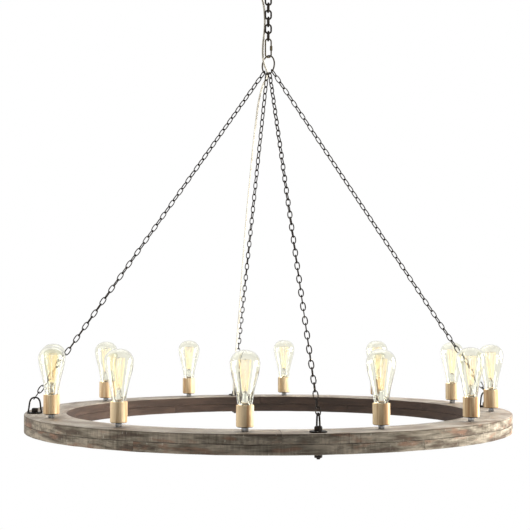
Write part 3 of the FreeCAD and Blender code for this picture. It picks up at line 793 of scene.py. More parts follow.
@dataclass(frozen=True)
class ClearGlass(Finish):
    """Thin clear glass, a little warm, with painted shade that greys it towards its outline."""

    clear: Colour = (0.905, 0.900, 0.830)
    # edge: the painted shade colour at the glass's outline.
    edge: Colour = (0.40, 0.40, 0.37)
    index: float = 1.46

    def lay(self, sheet: NodeSheet) -> None:
        """Adds clear refraction that lets the lamps' light pass, and painted shade at the outline.

        Args:
            sheet: The material's nodes.
        """
        facing = sheet.value("ShaderNodeLayerWeight", {}, {"Blend": 0.28}, "Facing")
        # Painted shade: the colour greys where the surface turns away from view.
        rim = sheet.step(facing, 0.55, 1.0) ** 2.0
        glass = sheet.shader(
            {
                "Base Color": sheet.mix(rim, self.clear, self.edge),
                "Roughness": 0.0,
                "Transmission Weight": 1.0,
                "IOR": self.index,
            }
        )
        passing = sheet.value("ShaderNodeBsdfTransparent", {}, {"Color": (0.96, 0.96, 0.94, 1)})
        shadow = sheet.value("ShaderNodeLightPath", {}, {}, "Is Shadow Ray")
        sheet.finish(sheet.value("ShaderNodeMixShader", {}, {0: shadow, 1: glass, 2: passing}))


@dataclass(frozen=True)
class WarmFilament(Finish):
    """Carbon wire with faint painted light: it emits a warm colour."""

    # The emitted colour and its strength are painted light on the wire.
    colour: Colour = (0.46, 0.29, 0.11)
    painted_glow: Colour = (0.66, 0.52, 0.26)
    strength: float = 0.40

    def lay(self, sheet: NodeSheet) -> None:
        """Adds painted light, emitted from the wire, that varies along it.

        Args:
            sheet: The material's nodes.
        """
        uneven = sheet.noise(sheet.place(), 160.0, detail=2.0, rough=0.5)
        painted_glow = sheet.mix(sheet.step(uneven, 0.35, 0.65), self.painted_glow, self.colour)
        sheet.finish(
            sheet.shader(
                {
                    "Base Color": painted_glow,
                    "Roughness": 0.5,
                    "Emission Color": painted_glow,
                    "Emission Strength": self.strength,
                }
            )
        )


@dataclass(frozen=True)
class Moulded(Finish):
    """Moulded plastic or rubber with a fine skin and slight soiling."""

    colour: Colour
    soiled: Colour
    roughness: float = 0.45
    grain: float = 900.0
    depth: float = 0.00004

    def lay(self, sheet: NodeSheet) -> None:
        """Adds soiling, skin and an uneven gloss.

        Args:
            sheet: The material's nodes.
        """
        place = sheet.place()
        clouds = sheet.noise(place, 60.0, detail=4.0, rough=0.6)
        skin = sheet.noise(place, self.grain, detail=2.0, rough=0.5)
        colour = sheet.mix(sheet.step(clouds, 0.42, 0.72), self.colour, self.soiled)
        sheet.finish(
            sheet.shader(
                {
                    "Base Color": colour,
                    "Roughness": self.roughness + (clouds - 0.5) * 0.25,
                    "Normal": sheet.bump(skin, self.depth, 0.6),
                }
            )
        )


BRONZE = Metal(
    "bronze_chain",
    "dark bronze",
    colour=(0.038, 0.030, 0.024),
    tarnish=(0.016, 0.013, 0.011),
    roughness=0.46,
    speck=(0.12, 0.075, 0.04),
    specks=0.5,
)
IRON = Metal(
    "dark_iron",
    "oil-rubbed iron",
    colour=(0.032, 0.026, 0.022),
    tarnish=(0.014, 0.012, 0.011),
    roughness=0.50,
    speck=(0.10, 0.055, 0.03),
    specks=0.35,
    cloud=60.0,
)
BLACK_OXIDE = Metal(
    "black_bolt",
    "black oxide",
    colour=(0.022, 0.021, 0.021),
    tarnish=(0.040, 0.028, 0.020),
    roughness=0.42,
    speck=(0.16, 0.08, 0.04),
    specks=0.25,
)
OLIVE_BRASS = Metal(
    "olive_brass",
    "aged olive brass",
    colour=(0.120, 0.100, 0.055),
    tarnish=(0.055, 0.046, 0.030),
    roughness=0.42,
    speck=(0.30, 0.15, 0.06),
    specks=0.5,
)
RING_BRASS = Metal(
    "olive_brass",
    "blackened brass",
    colour=(0.070, 0.055, 0.034),
    tarnish=(0.034, 0.027, 0.019),
    roughness=0.44,
    speck=(0.22, 0.12, 0.05),
    specks=0.4,
)
ZINC = Metal(
    "plated_steel",
    "zinc plate",
    colour=(0.46, 0.47, 0.48),
    tarnish=(0.17, 0.17, 0.17),
    roughness=0.30,
    speck=(0.10, 0.10, 0.10),
    specks=0.5,
)
CAP_METAL = Metal(
    "bulb_metal",
    "brass screw cap",
    colour=(0.66, 0.52, 0.27),
    tarnish=(0.42, 0.33, 0.18),
    roughness=0.32,
)
SUPPORT_WIRE = Metal(
    "bulb_metal",
    "support wire",
    colour=(0.45, 0.43, 0.40),
    tarnish=(0.30, 0.27, 0.22),
    roughness=0.35,
)
PHENOLIC = Moulded(
    "black_phenolic",
    "black phenolic",
    colour=(0.020, 0.019, 0.018),
    soiled=(0.05, 0.045, 0.04),
)
RUBBER = Moulded(
    "rubber",
    "black rubber",
    colour=(0.028, 0.028, 0.028),
    soiled=(0.06, 0.055, 0.05),
    roughness=0.65,
)
IVORY_VINYL = Moulded(
    "ivory_cord",
    "ivory vinyl",
    colour=(0.50, 0.465, 0.39),
    soiled=(0.38, 0.34, 0.27),
)
SLEEVE_WOOD = PaleWood("pale_wood", "turned pale wood")
GLASS = ClearGlass("clear_glass", "clear glass")
# The stem glass has its own painted shade colour at its outline.
STEM_GLASS = ClearGlass(
    "bulb_metal", "stem glass", clear=(0.95, 0.96, 0.96), edge=(0.40, 0.43, 0.46)
)
FILAMENT = WarmFilament("bulb_metal", "warm filament")


class Body(str, Enum):
    """The bodies that pieces ride on, but for the bulbs."""

    CEILING = "ceiling_fitting"
    FIRST_LINK = "link_1"
    CHAIN = "main_chain"
    QUICK_LINK = "quick_link"
    NUT = "quick_link_nut"
    WHEEL = "wheel"


def dress(piece: bpy.types.Object, finish: Finish, body: str, *nodes: str) -> bpy.types.Object:
    """Gives a piece its finish, its body and the construction nodes that it stands for.

    Args:
        piece: The finished mesh.
        finish: What its surface is.
        body: The body it rides on.
        nodes: The construction nodes that it replaces.

    Returns:
        The piece.
    """
    finish.on(piece)
    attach(piece, body)
    if nodes:
        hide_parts(*nodes)
    LOG.info("%s: %d faces", piece.name, len(piece.data.polygons))
    return piece


def fit_to_wheel(
    pattern: bpy.types.Object,
    places: Sequence[Matrix],
    name: str,
    node: str,
    finish: Finish,
    angle: float,
) -> None:
    """Puts a copy of a pattern in each place on the wheel and dresses them as one piece.

    Args:
        pattern: The modelled piece, which is used up.
        places: Where each copy goes.
        name: The piece's name.
        node: The construction node that it replaces.
        finish: What its surface is.
        angle: Edges sharper than this, in degrees, stay sharp.
    """
    piece = Bench.copies(pattern, places, name)
    Bench.smooth(piece, angle)
    dress(piece, finish, Body.WHEEL, node)


def carry_over(node: str, finish: Finish) -> None:
    """Keeps a construction node in view and puts a finish on it."""
    finish.on(frame["nodes"][node])
    LOG.info("%s: carried over", node)


# === heights read from the frame ===========================================================
def middle_z(node: str) -> float:
    """The middle height of a construction node."""
    low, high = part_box(node)
    return (low.z + high.z) / 2


WHEEL_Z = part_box("upper_felloes")[1].z
SEAM_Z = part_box("upper_felloes")[0].z
UNDERSIDE_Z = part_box("lower_felloes")[0].z
RING_Z = middle_z("gather_ring")


def socket_angles() -> list[float]:
    """The sockets' angles on the wheel, in degrees."""
    return [(i + 0.5) * 360.0 / SOCKET_COUNT for i in range(SOCKET_COUNT)]


# === studio ================================================================================
@dataclass(frozen=True)
class Lamp:
    """A square soft lamp: where it hangs, the length of its side and its power in watts."""

    name: str
    place: tuple[float, float, float]
    side: float
    power: float


@dataclass
class Studio:
    """The camera at the photograph's place, soft lamps, a pale floor and a white surround."""

    camera_place: Vector = Vector((-0.5106, -2.8667, -0.9263))
    camera_pitch: float = 92.75
    camera_yaw: float = -10.1
    focal_length: float = 77.1
    sensor_width: float = 36.0
    shift: float = -0.0062
    clip_start: float = 0.05
    floor_z: float = -2.6
    floor_radius: float = 5.0
    floor_sides: int = 96
    floor_colour: Colour = (0.72, 0.72, 0.71)
    fade_start: float = 0.25
    ambient: float = 0.26
    lamp_target: Vector = Vector((0, 0, -1.1))
    lamps: tuple[Lamp, ...] = (
        Lamp("right lamp", (3.2, -0.15, -0.7), side=2.0, power=620.0),
        Lamp("top lamp", (0.4, 1.2, 1.8), side=2.4, power=40.0),
        Lamp("left lamp", (-3.2, -0.2, -0.6), side=1.8, power=105.0),
    )

    def build(self) -> None:
        """Sets up camera, floor, lamps and surround."""
        bpy.context.scene.view_settings.view_transform = "Standard"
        self.camera()
        self.floor()
        self.surround()
        for lamp in self.lamps:
            self.hang(lamp)

    def camera(self) -> None:
        """Places the camera."""
        lens = bpy.data.cameras.new("camera")
        lens.lens = self.focal_length
        lens.sensor_width = self.sensor_width
        lens.shift_x = self.shift
        lens.clip_start = self.clip_start
        camera = bpy.data.objects.new("camera", lens)
        camera.location = self.camera_place
        pitch, yaw = math.radians(self.camera_pitch), math.radians(self.camera_yaw)
        camera.rotation_euler = (pitch, 0, yaw)
        bpy.context.scene.collection.objects.link(camera)
        bpy.context.scene.camera = camera

    def floor(self) -> None:
        """Lays the pale floor under the wheel; it fades out towards its edge."""
        Bench.clear()
        bpy.ops.mesh.primitive_circle_add(
            vertices=self.floor_sides,
            radius=self.floor_radius,
            fill_type="NGON",
            location=(0, 0, self.floor_z),
        )
        floor = Bench.started("studio_floor")
        paint = bpy.data.materials.new("pale floor")
        paint.use_nodes = True
        sheet = NodeSheet(paint.node_tree)
        pale = sheet.shader({"Base Color": (*self.floor_colour, 1), "Roughness": 0.9})
        clear = sheet.value("ShaderNodeBsdfTransparent", {}, {})
        length = {"operation": "LENGTH"}
        flat = sheet.stretched(sheet.place(), (1.0, 1.0, 0.0))
        radius = sheet.value("ShaderNodeVectorMath", length, {0: flat}, 1)
        fade = sheet.step(radius, self.floor_radius * self.fade_start, self.floor_radius)
        sheet.finish(sheet.value("ShaderNodeMixShader", {}, {0: fade, 1: pale, 2: clear}))
        floor.data.materials.append(paint)

    def surround(self) -> None:
        """Surrounds the scene with white, at a plain level where it lights the object."""
        world = bpy.data.worlds.new("surround")
        world.use_nodes = True
        bpy.context.scene.world = world
        sheet = NodeSheet(world.node_tree)
        rays = sheet.node("ShaderNodeLightPath", {}, {})
        seen = Value(sheet, rays.outputs["Is Camera Ray"])
        for name in ("Is Glossy Ray", "Is Transmission Ray"):
            seen = sheet.larger(seen, Value(sheet, rays.outputs[name]))
        strength = self.ambient + seen * (1.0 - self.ambient)
        light = {"Color": (1, 1, 1, 1), "Strength": strength}
        surface = sheet.value("ShaderNodeBackground", {}, light)
        sheet.node("ShaderNodeOutputWorld", {}, {"Surface": surface})

    def hang(self, lamp: Lamp) -> None:
        """Hangs a lamp so that it faces the wheel.

        Args:
            lamp: What hangs, and where.
        """
        light = bpy.data.lights.new(lamp.name, "AREA")
        light.size = lamp.side
        light.energy = lamp.power
        hung = bpy.data.objects.new(lamp.name, light)
        hung.visible_glossy = False
        hung.location = lamp.place
        aim = self.lamp_target - Vector(lamp.place)
        hung.rotation_euler = aim.to_track_quat("-Z", "Y").to_euler()
        bpy.context.scene.collection.objects.link(hung)


# === cord ==================================================================================
# The cord's route: height above the wheel's top, then x and y.
CORD_ROUTE = (
    (1.0780, -0.0186, 0.0089),
    (1.0460, -0.0098, 0.0079),
    (1.0100, -0.0075, 0.0075),
    (0.9780, -0.0087, 0.0068),
    (0.9500, -0.0128, 0.0042),
    (0.9240, -0.0142, 0.0034),
    (0.9020, -0.0124, 0.0064),
    (0.8860, -0.0078, 0.0066),
    (0.8698, 0.0011, 0.0108),
    (0.8578, -0.0011, 0.0219),
    (0.8428, -0.0088, 0.0342),
    (0.8040, -0.0166, 0.0530),
    (0.7520, -0.0190, 0.0820),
    (0.6900, -0.0200, 0.1210),
    (0.6260, -0.0194, 0.1650),
    (0.5600, -0.0190, 0.2100),
    (0.4930, -0.0180, 0.2566),
    (0.4270, -0.0160, 0.3022),
    (0.3610, -0.0138, 0.3484),
    (0.2960, -0.0114, 0.3946),
    (0.2330, -0.0096, 0.4388),
    (0.1740, -0.0086, 0.4792),
    (0.1220, -0.0082, 0.5124),
    (0.0760, -0.0088, 0.5355),
)


@dataclass(frozen=True)
class Stretch:
    """A stretch of cord across one joint: its upper end, and where the bend starts and ends."""

    name: str
    above: Body
    below: Body
    top_z: float
    start_z: float
    end_z: float


@dataclass
class Cord:
    """The flat twin cord: short stretches, each across one joint, and a long one."""

    width: float = 0.0054
    thickness: float = 0.0027
    drop: float = 0.020
    grommet_height: float = 0.002
    rise: float = 0.034
    fineness: int = 10
    lobe_steps: int = 7
    lobe_span: float = 280.0
    stretches: tuple[Stretch, ...] = (
        Stretch("cord_at_canopy", Body.CEILING, Body.FIRST_LINK, -0.033, -0.056, -0.082),
        Stretch("cord_at_first_link", Body.FIRST_LINK, Body.CHAIN, -0.084, -0.086, -0.120),
        Stretch("cord_along_chain", Body.CHAIN, Body.QUICK_LINK, -0.124, -0.186, -0.222),
        Stretch("cord_at_ring", Body.QUICK_LINK, Body.WHEEL, -0.226, -0.230, -0.266),
    )
    last_name: str = "cord_to_wheel"
    last_top_z: float = -0.274

    def route(self) -> list[Vector]:
        """The route's control points, from the canopy's bushing to the grommet.

        Returns:
            The control points, from the upper end.
        """
        start = polar(BUSHING_RADIUS, BUSHING_ANGLE, BUSHING_Z)
        end = polar(GROMMET_RADIUS, GROMMET_ANGLE, WHEEL_Z + self.grommet_height)
        points = [start, start - Vector((0, 0, self.drop))]
        points += [Vector((x, y, WHEEL_Z + height)) for height, x, y in CORD_ROUTE]
        return points + [end + Vector((0, 0, self.rise)), end]

    def line(self) -> list[Vector]:
        """The cord's centre line: points read along a smooth spline through the route.

        Returns:
            The points, from the upper end.
        """
        curve = bpy.data.curves.new("cord line", "CURVE")
        curve.dimensions = "3D"
        curve.resolution_u = self.fineness
        spline = curve.splines.new("NURBS")
        route = self.route()
        spline.points.add(len(route) - 1)
        for control, place in zip(spline.points, route):
            control.co = (*place, 1)
        spline.order_u = 3
        spline.use_endpoint_u = True
        holder = bpy.data.objects.new("cord line", curve)
        read = bpy.data.meshes.new_from_object(holder)
        points = [point.co.copy() for point in read.vertices]
        bpy.data.objects.remove(holder)
        bpy.data.meshes.remove(read)
        return points

    def section(self) -> list[tuple[float, float]]:
        """The twin section: two round lobes that touch.

        Returns:
            The section's corners, (across, off its flat side), in turn.
        """
        radius = self.thickness / 2
        corners = []
        for side in (1, -1):
            for i in range(self.lobe_steps):
                turn = self.lobe_span * i / (self.lobe_steps - 1) - self.lobe_span / 2
                angle = math.radians(turn)
                if side < 0:
                    angle += math.pi
                across = side * (self.width / 2 - radius) + radius * math.cos(angle)
                corners.append((across, radius * math.sin(angle)))
        return corners

    def frames(self, line: Sequence[Vector]) -> list[Matrix]:
        """A frame at each point of the line, turned no more than the line itself.

        Args:
            line: The points of the centre line.

        Returns:
            A frame for each point.
        """
        across = Vector((1, 0, 0))
        frames = []
        for i, place in enumerate(line):
            before, after = line[max(i - 1, 0)], line[min(i + 1, len(line) - 1)]
            along = (after - before).normalized()
            across = (across - along * across.dot(along)).normalized()
            frames.append(framed(across, along, place))
        return frames

    def stretch(self, name: str, frames: Sequence[Matrix]) -> bpy.types.Object:
        """Sweeps the twin section along some of the frames.

        Args:
            name: The piece's name.
            frames: The frames from one end to the other.

        Returns:
            The mesh object, closed at both ends.
        """
        section = [Vector((x, y, 0)) for x, y in self.section()]
        count = len(section)
        points = [frame @ corner for frame in frames for corner in section]
        faces = [tuple(reversed(range(count)))]
        for here in range(0, (len(frames) - 1) * count, count):
            after = here + count
            for j in range(count):
                k = (j + 1) % count
                faces.append((here + j, here + k, after + k, after + j))
        faces.append(tuple(range((len(frames) - 1) * count, len(frames) * count)))
        mesh = bpy.data.meshes.new(name)
        mesh.from_pydata(points, [], faces)
        piece = bpy.data.objects.new(name, mesh)
        bpy.context.scene.collection.objects.link(piece)
        Bench.close(piece)
        Bench.smooth(piece, angle=60)
        return piece

    def build(self) -> None:
        """Lays the cord, cuts it into stretches at their upper ends, and logs each stretch's
        length.
        """
        line = self.line()
        frames = self.frames(line)
        tops = [row.top_z for row in self.stretches] + [self.last_top_z]
        marks = [min(range(len(line)), key=lambda i: abs(line[i].z - top)) for top in tops]
        marks[0] = 0
        for row, first, last in zip(self.stretches, marks, marks[1:]):
            piece = self.stretch(row.name, frames[first : last + 1])
            IVORY_VINYL.on(piece)
            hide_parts("cord")
            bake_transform(piece)
            self.declare(piece, line[first : last + 1])
        long = self.stretch(self.last_name, frames[marks[-1] :])
        dress(long, IVORY_VINYL, Body.WHEEL, "cord")
        self.declare(long, line[marks[-1] :])

    def declare(self, piece: bpy.types.Object, path: Sequence[Vector]) -> None:
        """Logs the length of a stretch of cord along its path.

        Args:
            piece: The stretch.
            path: The points of its centre line, from its upper end.
        """
        length = sum((after - before).length for before, after in zip(path, path[1:]))
        LOG.info("%s: %.4f m long", piece.name, length)


# === ceiling fitting =======================================================================
@dataclass
class CeilingFitting:
    """Canopy, threaded nipple, screw collar with its loop, and the cord's bushing."""

    canopy_radius: float = 0.0635
    canopy_depth: float = CANOPY_DEPTH
    canopy_wall: float = 0.0012
    canopy_hole: float = 0.0051
    rim_height: float = 0.006
    flat_radius: float = 0.036
    collar_radius: float = 0.0090
    collar_neck: float = 0.0063
    collar_height: float = 0.012
    collar_bore: float = 0.0049
    seat: float = 0.0003
    loop_diameter: float = 0.034
    wire: float = 0.0046
    bushing_bore: float = 0.0030
    bushing_radius: float = 0.0046
    bushing_flange: float = 0.0065

    def build(self) -> None:
        """Builds and dresses the fitting."""
        self.canopy()
        self.loop()
        self.bushing()
        carry_over("crossbar", ZINC)
        carry_over("canopy_nipple", ZINC)
        carry_over("canopy_locknut", IRON)

    def canopy(self) -> None:
        """Turns the pressed cover, with a rolled rim and a soft shoulder."""
        r, d = self.canopy_radius, self.canopy_depth
        wall, hole = self.canopy_wall, self.canopy_hole
        outside = [(hole, -d), (0.012, -d), (0.0125, -d + 0.0006), (0.020, -d + 0.0006)]
        outside += [(0.0205, -d), (self.flat_radius, -d), (0.0405, -d + 0.0014)]
        outside += [(0.0465, -d + 0.0046), (0.0515, -0.0205), (0.0570, -0.0150), (0.0605, -0.0105)]
        outside += [(r, -self.rim_height), (r, -0.0010), (r - 0.0004, 0)]
        inside = [(r - wall, 0), (r - wall, -self.rim_height), (0.0570, -0.0128)]
        inside += [(0.0500, -0.0198), (0.0400, -d + 0.0032), (self.flat_radius, -d + wall)]
        inside += [(hole, -d + wall)]
        piece = Bench.turn("canopy_cover", outside + inside, sides=64, closed=True)
        Bench.smooth(piece, angle=32)
        dress(piece, IRON, Body.CEILING, "canopy")

    def loop(self) -> None:
        """Turns the collar and joins the fixed loop to it."""
        low = -self.canopy_depth - self.collar_height
        top, r, neck = -self.canopy_depth - self.seat, self.collar_radius, self.collar_neck
        outline = [(self.collar_bore, top), (r, top), (r, low + 0.0035), (neck, low + 0.0008)]
        outline += [(neck, low - 0.0014), (0.0045, low - 0.0024), (0, low - 0.0026)]
        collar = Bench.turn("loop_collar", outline, sides=40)
        Bench.bevel(collar, width=0.0005, angle=30)
        width = self.loop_diameter - self.wire
        loop = Bench.oval("loop_wire", width, width, self.wire, around=40, sides=14)
        centre = low - self.loop_diameter / 2
        loop.data.transform(Matrix.Translation((0, 0, centre)))
        piece = Bench.join([collar, loop], "canopy_loop_and_collar")
        Bench.smooth(piece, angle=40)
        dress(piece, IRON, Body.CEILING, "canopy_loop")

    def bushing(self) -> None:
        """Turns the cord's strain relief."""
        top, low = -self.canopy_depth, BUSHING_Z
        bore, r, flange = self.bushing_bore, self.bushing_radius, self.bushing_flange
        outline = [(bore, low), (r, low), (flange, low + 0.0016), (flange, top), (r, top)]
        outline += [(r, top + 0.0055), (bore, top + 0.006)]
        piece = Bench.turn("cord_strain_relief", outline, sides=28, closed=True)
        Bench.bevel(piece, width=0.0004)
        piece.data.transform(standing(polar(BUSHING_RADIUS, BUSHING_ANGLE)))
        Bench.smooth(piece)
        dress(piece, RUBBER, Body.CEILING, "cord_bushing")


# === main chain, quick link and ring =======================================================
@dataclass
class MainChain:
    """Seven welded links, the quick link with its sleeve nut, and the gathering ring."""

    links: int = 7
    wire: float = 0.0046
    path_length: float = 0.0235
    path_width: float = 0.0152
    quick_wire: float = 0.0038
    quick_path_length: float = 0.0487
    quick_path_width: float = 0.0152
    thread_pitch: float = 0.0009
    thread_length: float = 0.0300
    thread_shift: float = 0.0040
    thread_root: float = 0.0001
    thread_crest: float = 0.00005
    nut_length: float = 0.0127
    nut_radius: float = 0.0036
    nut_chamfer: float = 0.0007
    weld_cuts: tuple[float, ...] = (-0.0012, 0.0, 0.0012)
    weld_swell: float = 1.10

    def build(self) -> None:
        """Builds and dresses the chain from the top down."""
        pattern = self.link()
        for number in range(1, self.links + 1):
            turn = 90.0 if number % 2 else 0.0
            node = f"main_link_{number}"
            place = standing(Vector((0, 0, middle_z(node))), turn)
            piece = Bench.copy(pattern, place, f"chain_link_{number}")
            Bench.smooth(piece, angle=60)
            body = Body.FIRST_LINK if number == 1 else Body.CHAIN
            dress(piece, BRONZE, body, node)
        bpy.data.objects.remove(pattern)
        self.quick_link()
        self.nut()
        self.ring()

    def weld(self, piece: bpy.types.Object, place: Vector, reach: float) -> None:
        """Swells the wire a little where it is welded.

        Args:
            piece: The link or ring.
            place: The weld's middle, on the wire's centre line.
            reach: How far from there the bead runs.
        """
        Bench.pick(piece, lambda point: (point - place).length < reach)
        bpy.ops.transform.resize(value=[self.weld_swell] * 3, center_override=place)
        bpy.ops.object.mode_set(mode="OBJECT")

    def link(self) -> bpy.types.Object:
        """Bends one link, with a weld on its side.

        Returns:
            The link, upright about the origin.
        """
        piece = Bench.oval(
            "link pattern", self.path_length, self.path_width, self.wire, around=24, sides=12
        )
        Bench.pick(piece)
        for height in self.weld_cuts:
            bpy.ops.mesh.select_all(action="SELECT")
            bpy.ops.mesh.bisect(plane_co=(0, 0, height), plane_no=(0, 0, 1))
        bpy.ops.object.mode_set(mode="OBJECT")
        self.weld(piece, Vector((self.path_width / 2, 0, 0)), self.wire * 0.52)
        return piece

    def quick_link(self) -> None:
        """Bends the quick link and cuts the thread on its right-hand side."""
        z = middle_z("quick_link")
        piece = Bench.oval(
            "quick link rod",
            self.quick_path_length,
            self.quick_path_width,
            self.quick_wire,
            around=36,
            sides=14,
        )
        piece.data.transform(Matrix.Translation((0, 0, z)))
        radius = self.quick_wire / 2
        root, crest = radius - self.thread_root, radius + self.thread_crest
        low = z - self.thread_length / 2 + self.thread_shift
        turns = int(self.thread_length / self.thread_pitch)
        outline = [(root, low)]
        for i in range(turns):
            outline.append((crest, low + (i + 0.5) * self.thread_pitch))
            outline.append((root, low + (i + 1) * self.thread_pitch))
        thread = Bench.turn("quick link thread", outline, sides=16)
        thread.data.transform(Matrix.Translation((self.quick_path_width / 2, 0, 0)))
        whole = Bench.join([piece, thread], "quick_link_rod")
        Bench.smooth(whole, angle=50)
        dress(whole, OLIVE_BRASS, Body.QUICK_LINK, "quick_link")

    def nut(self) -> None:
        """Makes the hexagon sleeve nut with turned-down ends."""
        z, half = middle_z("quick_link_nut"), self.nut_length / 2
        low, high = z - half, z + half
        bore = self.quick_wire / 2 + self.thread_crest
        r, face = self.nut_radius, self.nut_radius - self.nut_chamfer
        outline = [(bore, low), (face, low), (r, low + 0.0010), (r, high - 0.0010)]
        outline += [(face, high), (bore, high)]
        piece = Bench.turn("quick_link_sleeve_nut", outline, sides=HEXAGON, closed=True)
        piece.data.transform(standing(Vector((self.quick_path_width / 2, 0, 0)), 30.0))
        Bench.bevel(piece, width=0.00025, angle=25)
        Bench.smooth(piece, angle=35)
        dress(piece, OLIVE_BRASS, Body.NUT, "quick_link_nut")

    def ring(self) -> None:
        """Bends the gathering ring and welds it at its side."""
        width = RING_WIDTH
        piece = Bench.oval("gathering_ring", width, width, RING_WIRE, around=64, sides=14)
        self.weld(piece, Vector((-width / 2, 0, 0)), RING_WIRE * 0.62)
        piece.data.transform(standing(Vector((0, 0, RING_Z)), RING_TURN))
        Bench.smooth(piece, angle=60)
        dress(piece, RING_BRASS, Body.WHEEL, "gather_ring")


# === leg chains ============================================================================
@dataclass
class LegChains:
    """Four chains of small oval links, from the gathering ring to the wheel's brackets."""

    links: int = 54
    wire: float = 0.0028
    link_width: float = 0.0104
    squareness: float = 0.86
    pitch: float = 0.01883
    seat: float = 0.0003
    ring_seat: float = 0.0004
    ring_radius: float = RING_WIDTH / 2
    arch_top: float = 0.0400
    sections: int = 14
    wire_sides: int = 6
    names: tuple[str, ...] = ("right", "rear", "left", "front")
    ring_angles: tuple[float, ...] = (42.0, -12.0, -46.0, 14.0)

    @property
    def link_length(self) -> float:
        """The length of a link's centre line."""
        return self.pitch + self.seat + self.wire

    def build(self) -> None:
        """Builds and dresses the four chains."""
        pattern = self.link()
        for name, ring_angle, leg_angle in zip(self.names, self.ring_angles, BRACKET_ANGLES):
            copy = Bench.copy(pattern, Matrix.Identity(4), "leg pattern")
            piece = Bench.copies(copy, self.places(ring_angle, leg_angle), f"leg_links_{name}")
            Bench.smooth(piece, angle=80)
            dress(piece, BRONZE, Body.WHEEL, f"leg_chain_{name}")
        bpy.data.objects.remove(pattern)

    def link(self) -> bpy.types.Object:
        """Bends one small link: a ring of wire whose sections are drawn out to an oval.

        Returns:
            The link, upright about the origin.
        """
        width, radius = self.link_width, self.link_width / 2
        piece = Bench.oval("leg link", width, width, self.wire, self.sections, self.wire_sides)
        angles = [(i + 0.5) * math.tau / self.sections for i in range(self.sections)]
        for angle in sorted(angles, key=lambda turn: -abs(math.sin(turn))):
            here = Vector((radius * math.cos(angle), 0, radius * math.sin(angle)))
            wide = radius * abs(math.cos(angle)) ** self.squareness
            high = self.link_length / 2 * abs(math.sin(angle)) ** self.squareness
            there = Vector((math.copysign(wide, here.x), 0, math.copysign(high, here.z)))
            Bench.pick(piece, lambda point: (point - here).length < self.wire * 0.52)
            bpy.ops.transform.translate(value=there - here)
        bpy.ops.object.mode_set(mode="OBJECT")
        return piece

    def ring_point(self, degrees: float) -> Vector:
        """The centre of the ring's wire at an angle from its lowest point.

        Args:
            degrees: The angle.

        Returns:
            The point.
        """
        angle = math.radians(degrees)
        side = polar(1.0, RING_TURN) * (self.ring_radius * math.sin(angle))
        return side + Vector((0, 0, RING_Z - self.ring_radius * math.cos(angle)))

    def ring_tangent(self, degrees: float) -> Vector:
        """The direction of the ring's wire there."""
        angle = math.radians(degrees)
        return polar(1.0, RING_TURN) * math.cos(angle) + Vector((0, 0, math.sin(angle)))

    def ends(self, ring_angle: float, leg_angle: float) -> tuple[Vector, Vector]:
        """Where a chain's first link starts and its last link ends.

        Args:
            ring_angle: Where the chain hangs on the ring, in degrees.
            leg_angle: The bracket's angle on the wheel.

        Returns:
            The outer ends of the first and the last link.
        """
        start = self.ring_point(ring_angle)
        hook_z = WHEEL_Z + self.arch_top - ARCH_WIRE / 2
        finish = polar(BRACKET_CIRCLE, leg_angle, hook_z)
        direction = (finish - start).normalized()
        upper = (RING_WIRE + self.wire) / 2 + self.ring_seat
        lower = (ARCH_WIRE + self.wire) / 2 + self.seat
        slant = direction.dot(self.ring_tangent(ring_angle))
        before = upper / math.sqrt(1 - slant * slant)
        slant = direction.dot(polar(1.0, leg_angle))
        after = lower / math.sqrt(1 - slant * slant)
        return start - direction * before, finish + direction * after

    def places(self, ring_angle: float, leg_angle: float) -> list[Matrix]:
        """Where each link of a chain goes, each a quarter turn from the last.

        Args:
            ring_angle: Where the chain hangs on the ring, in degrees from its lowest point.
            leg_angle: The bracket's angle on the wheel.

        Returns:
            A place for each link.
        """
        first, last = self.ends(ring_angle, leg_angle)
        direction = (last - first).normalized()
        pitch = ((last - first).length - self.link_length) / (self.links - 1)
        start = self.ring_tangent(ring_angle).cross(direction).normalized()
        end = polar(1.0, leg_angle + 90.0)
        turned = Matrix.Rotation((self.links - 1) * math.pi / 2, 3, direction) @ start
        angle = math.atan2(end.dot(direction.cross(turned)), end.dot(turned))
        twist = (angle - math.pi * round(angle / math.pi)) / (self.links - 1)
        places = []
        for i in range(self.links):
            across = Matrix.Rotation(i * (math.pi / 2 + twist), 3, direction) @ start
            centre = first + direction * (self.link_length / 2 + i * pitch)
            places.append(framed(across, direction, centre))
        return places


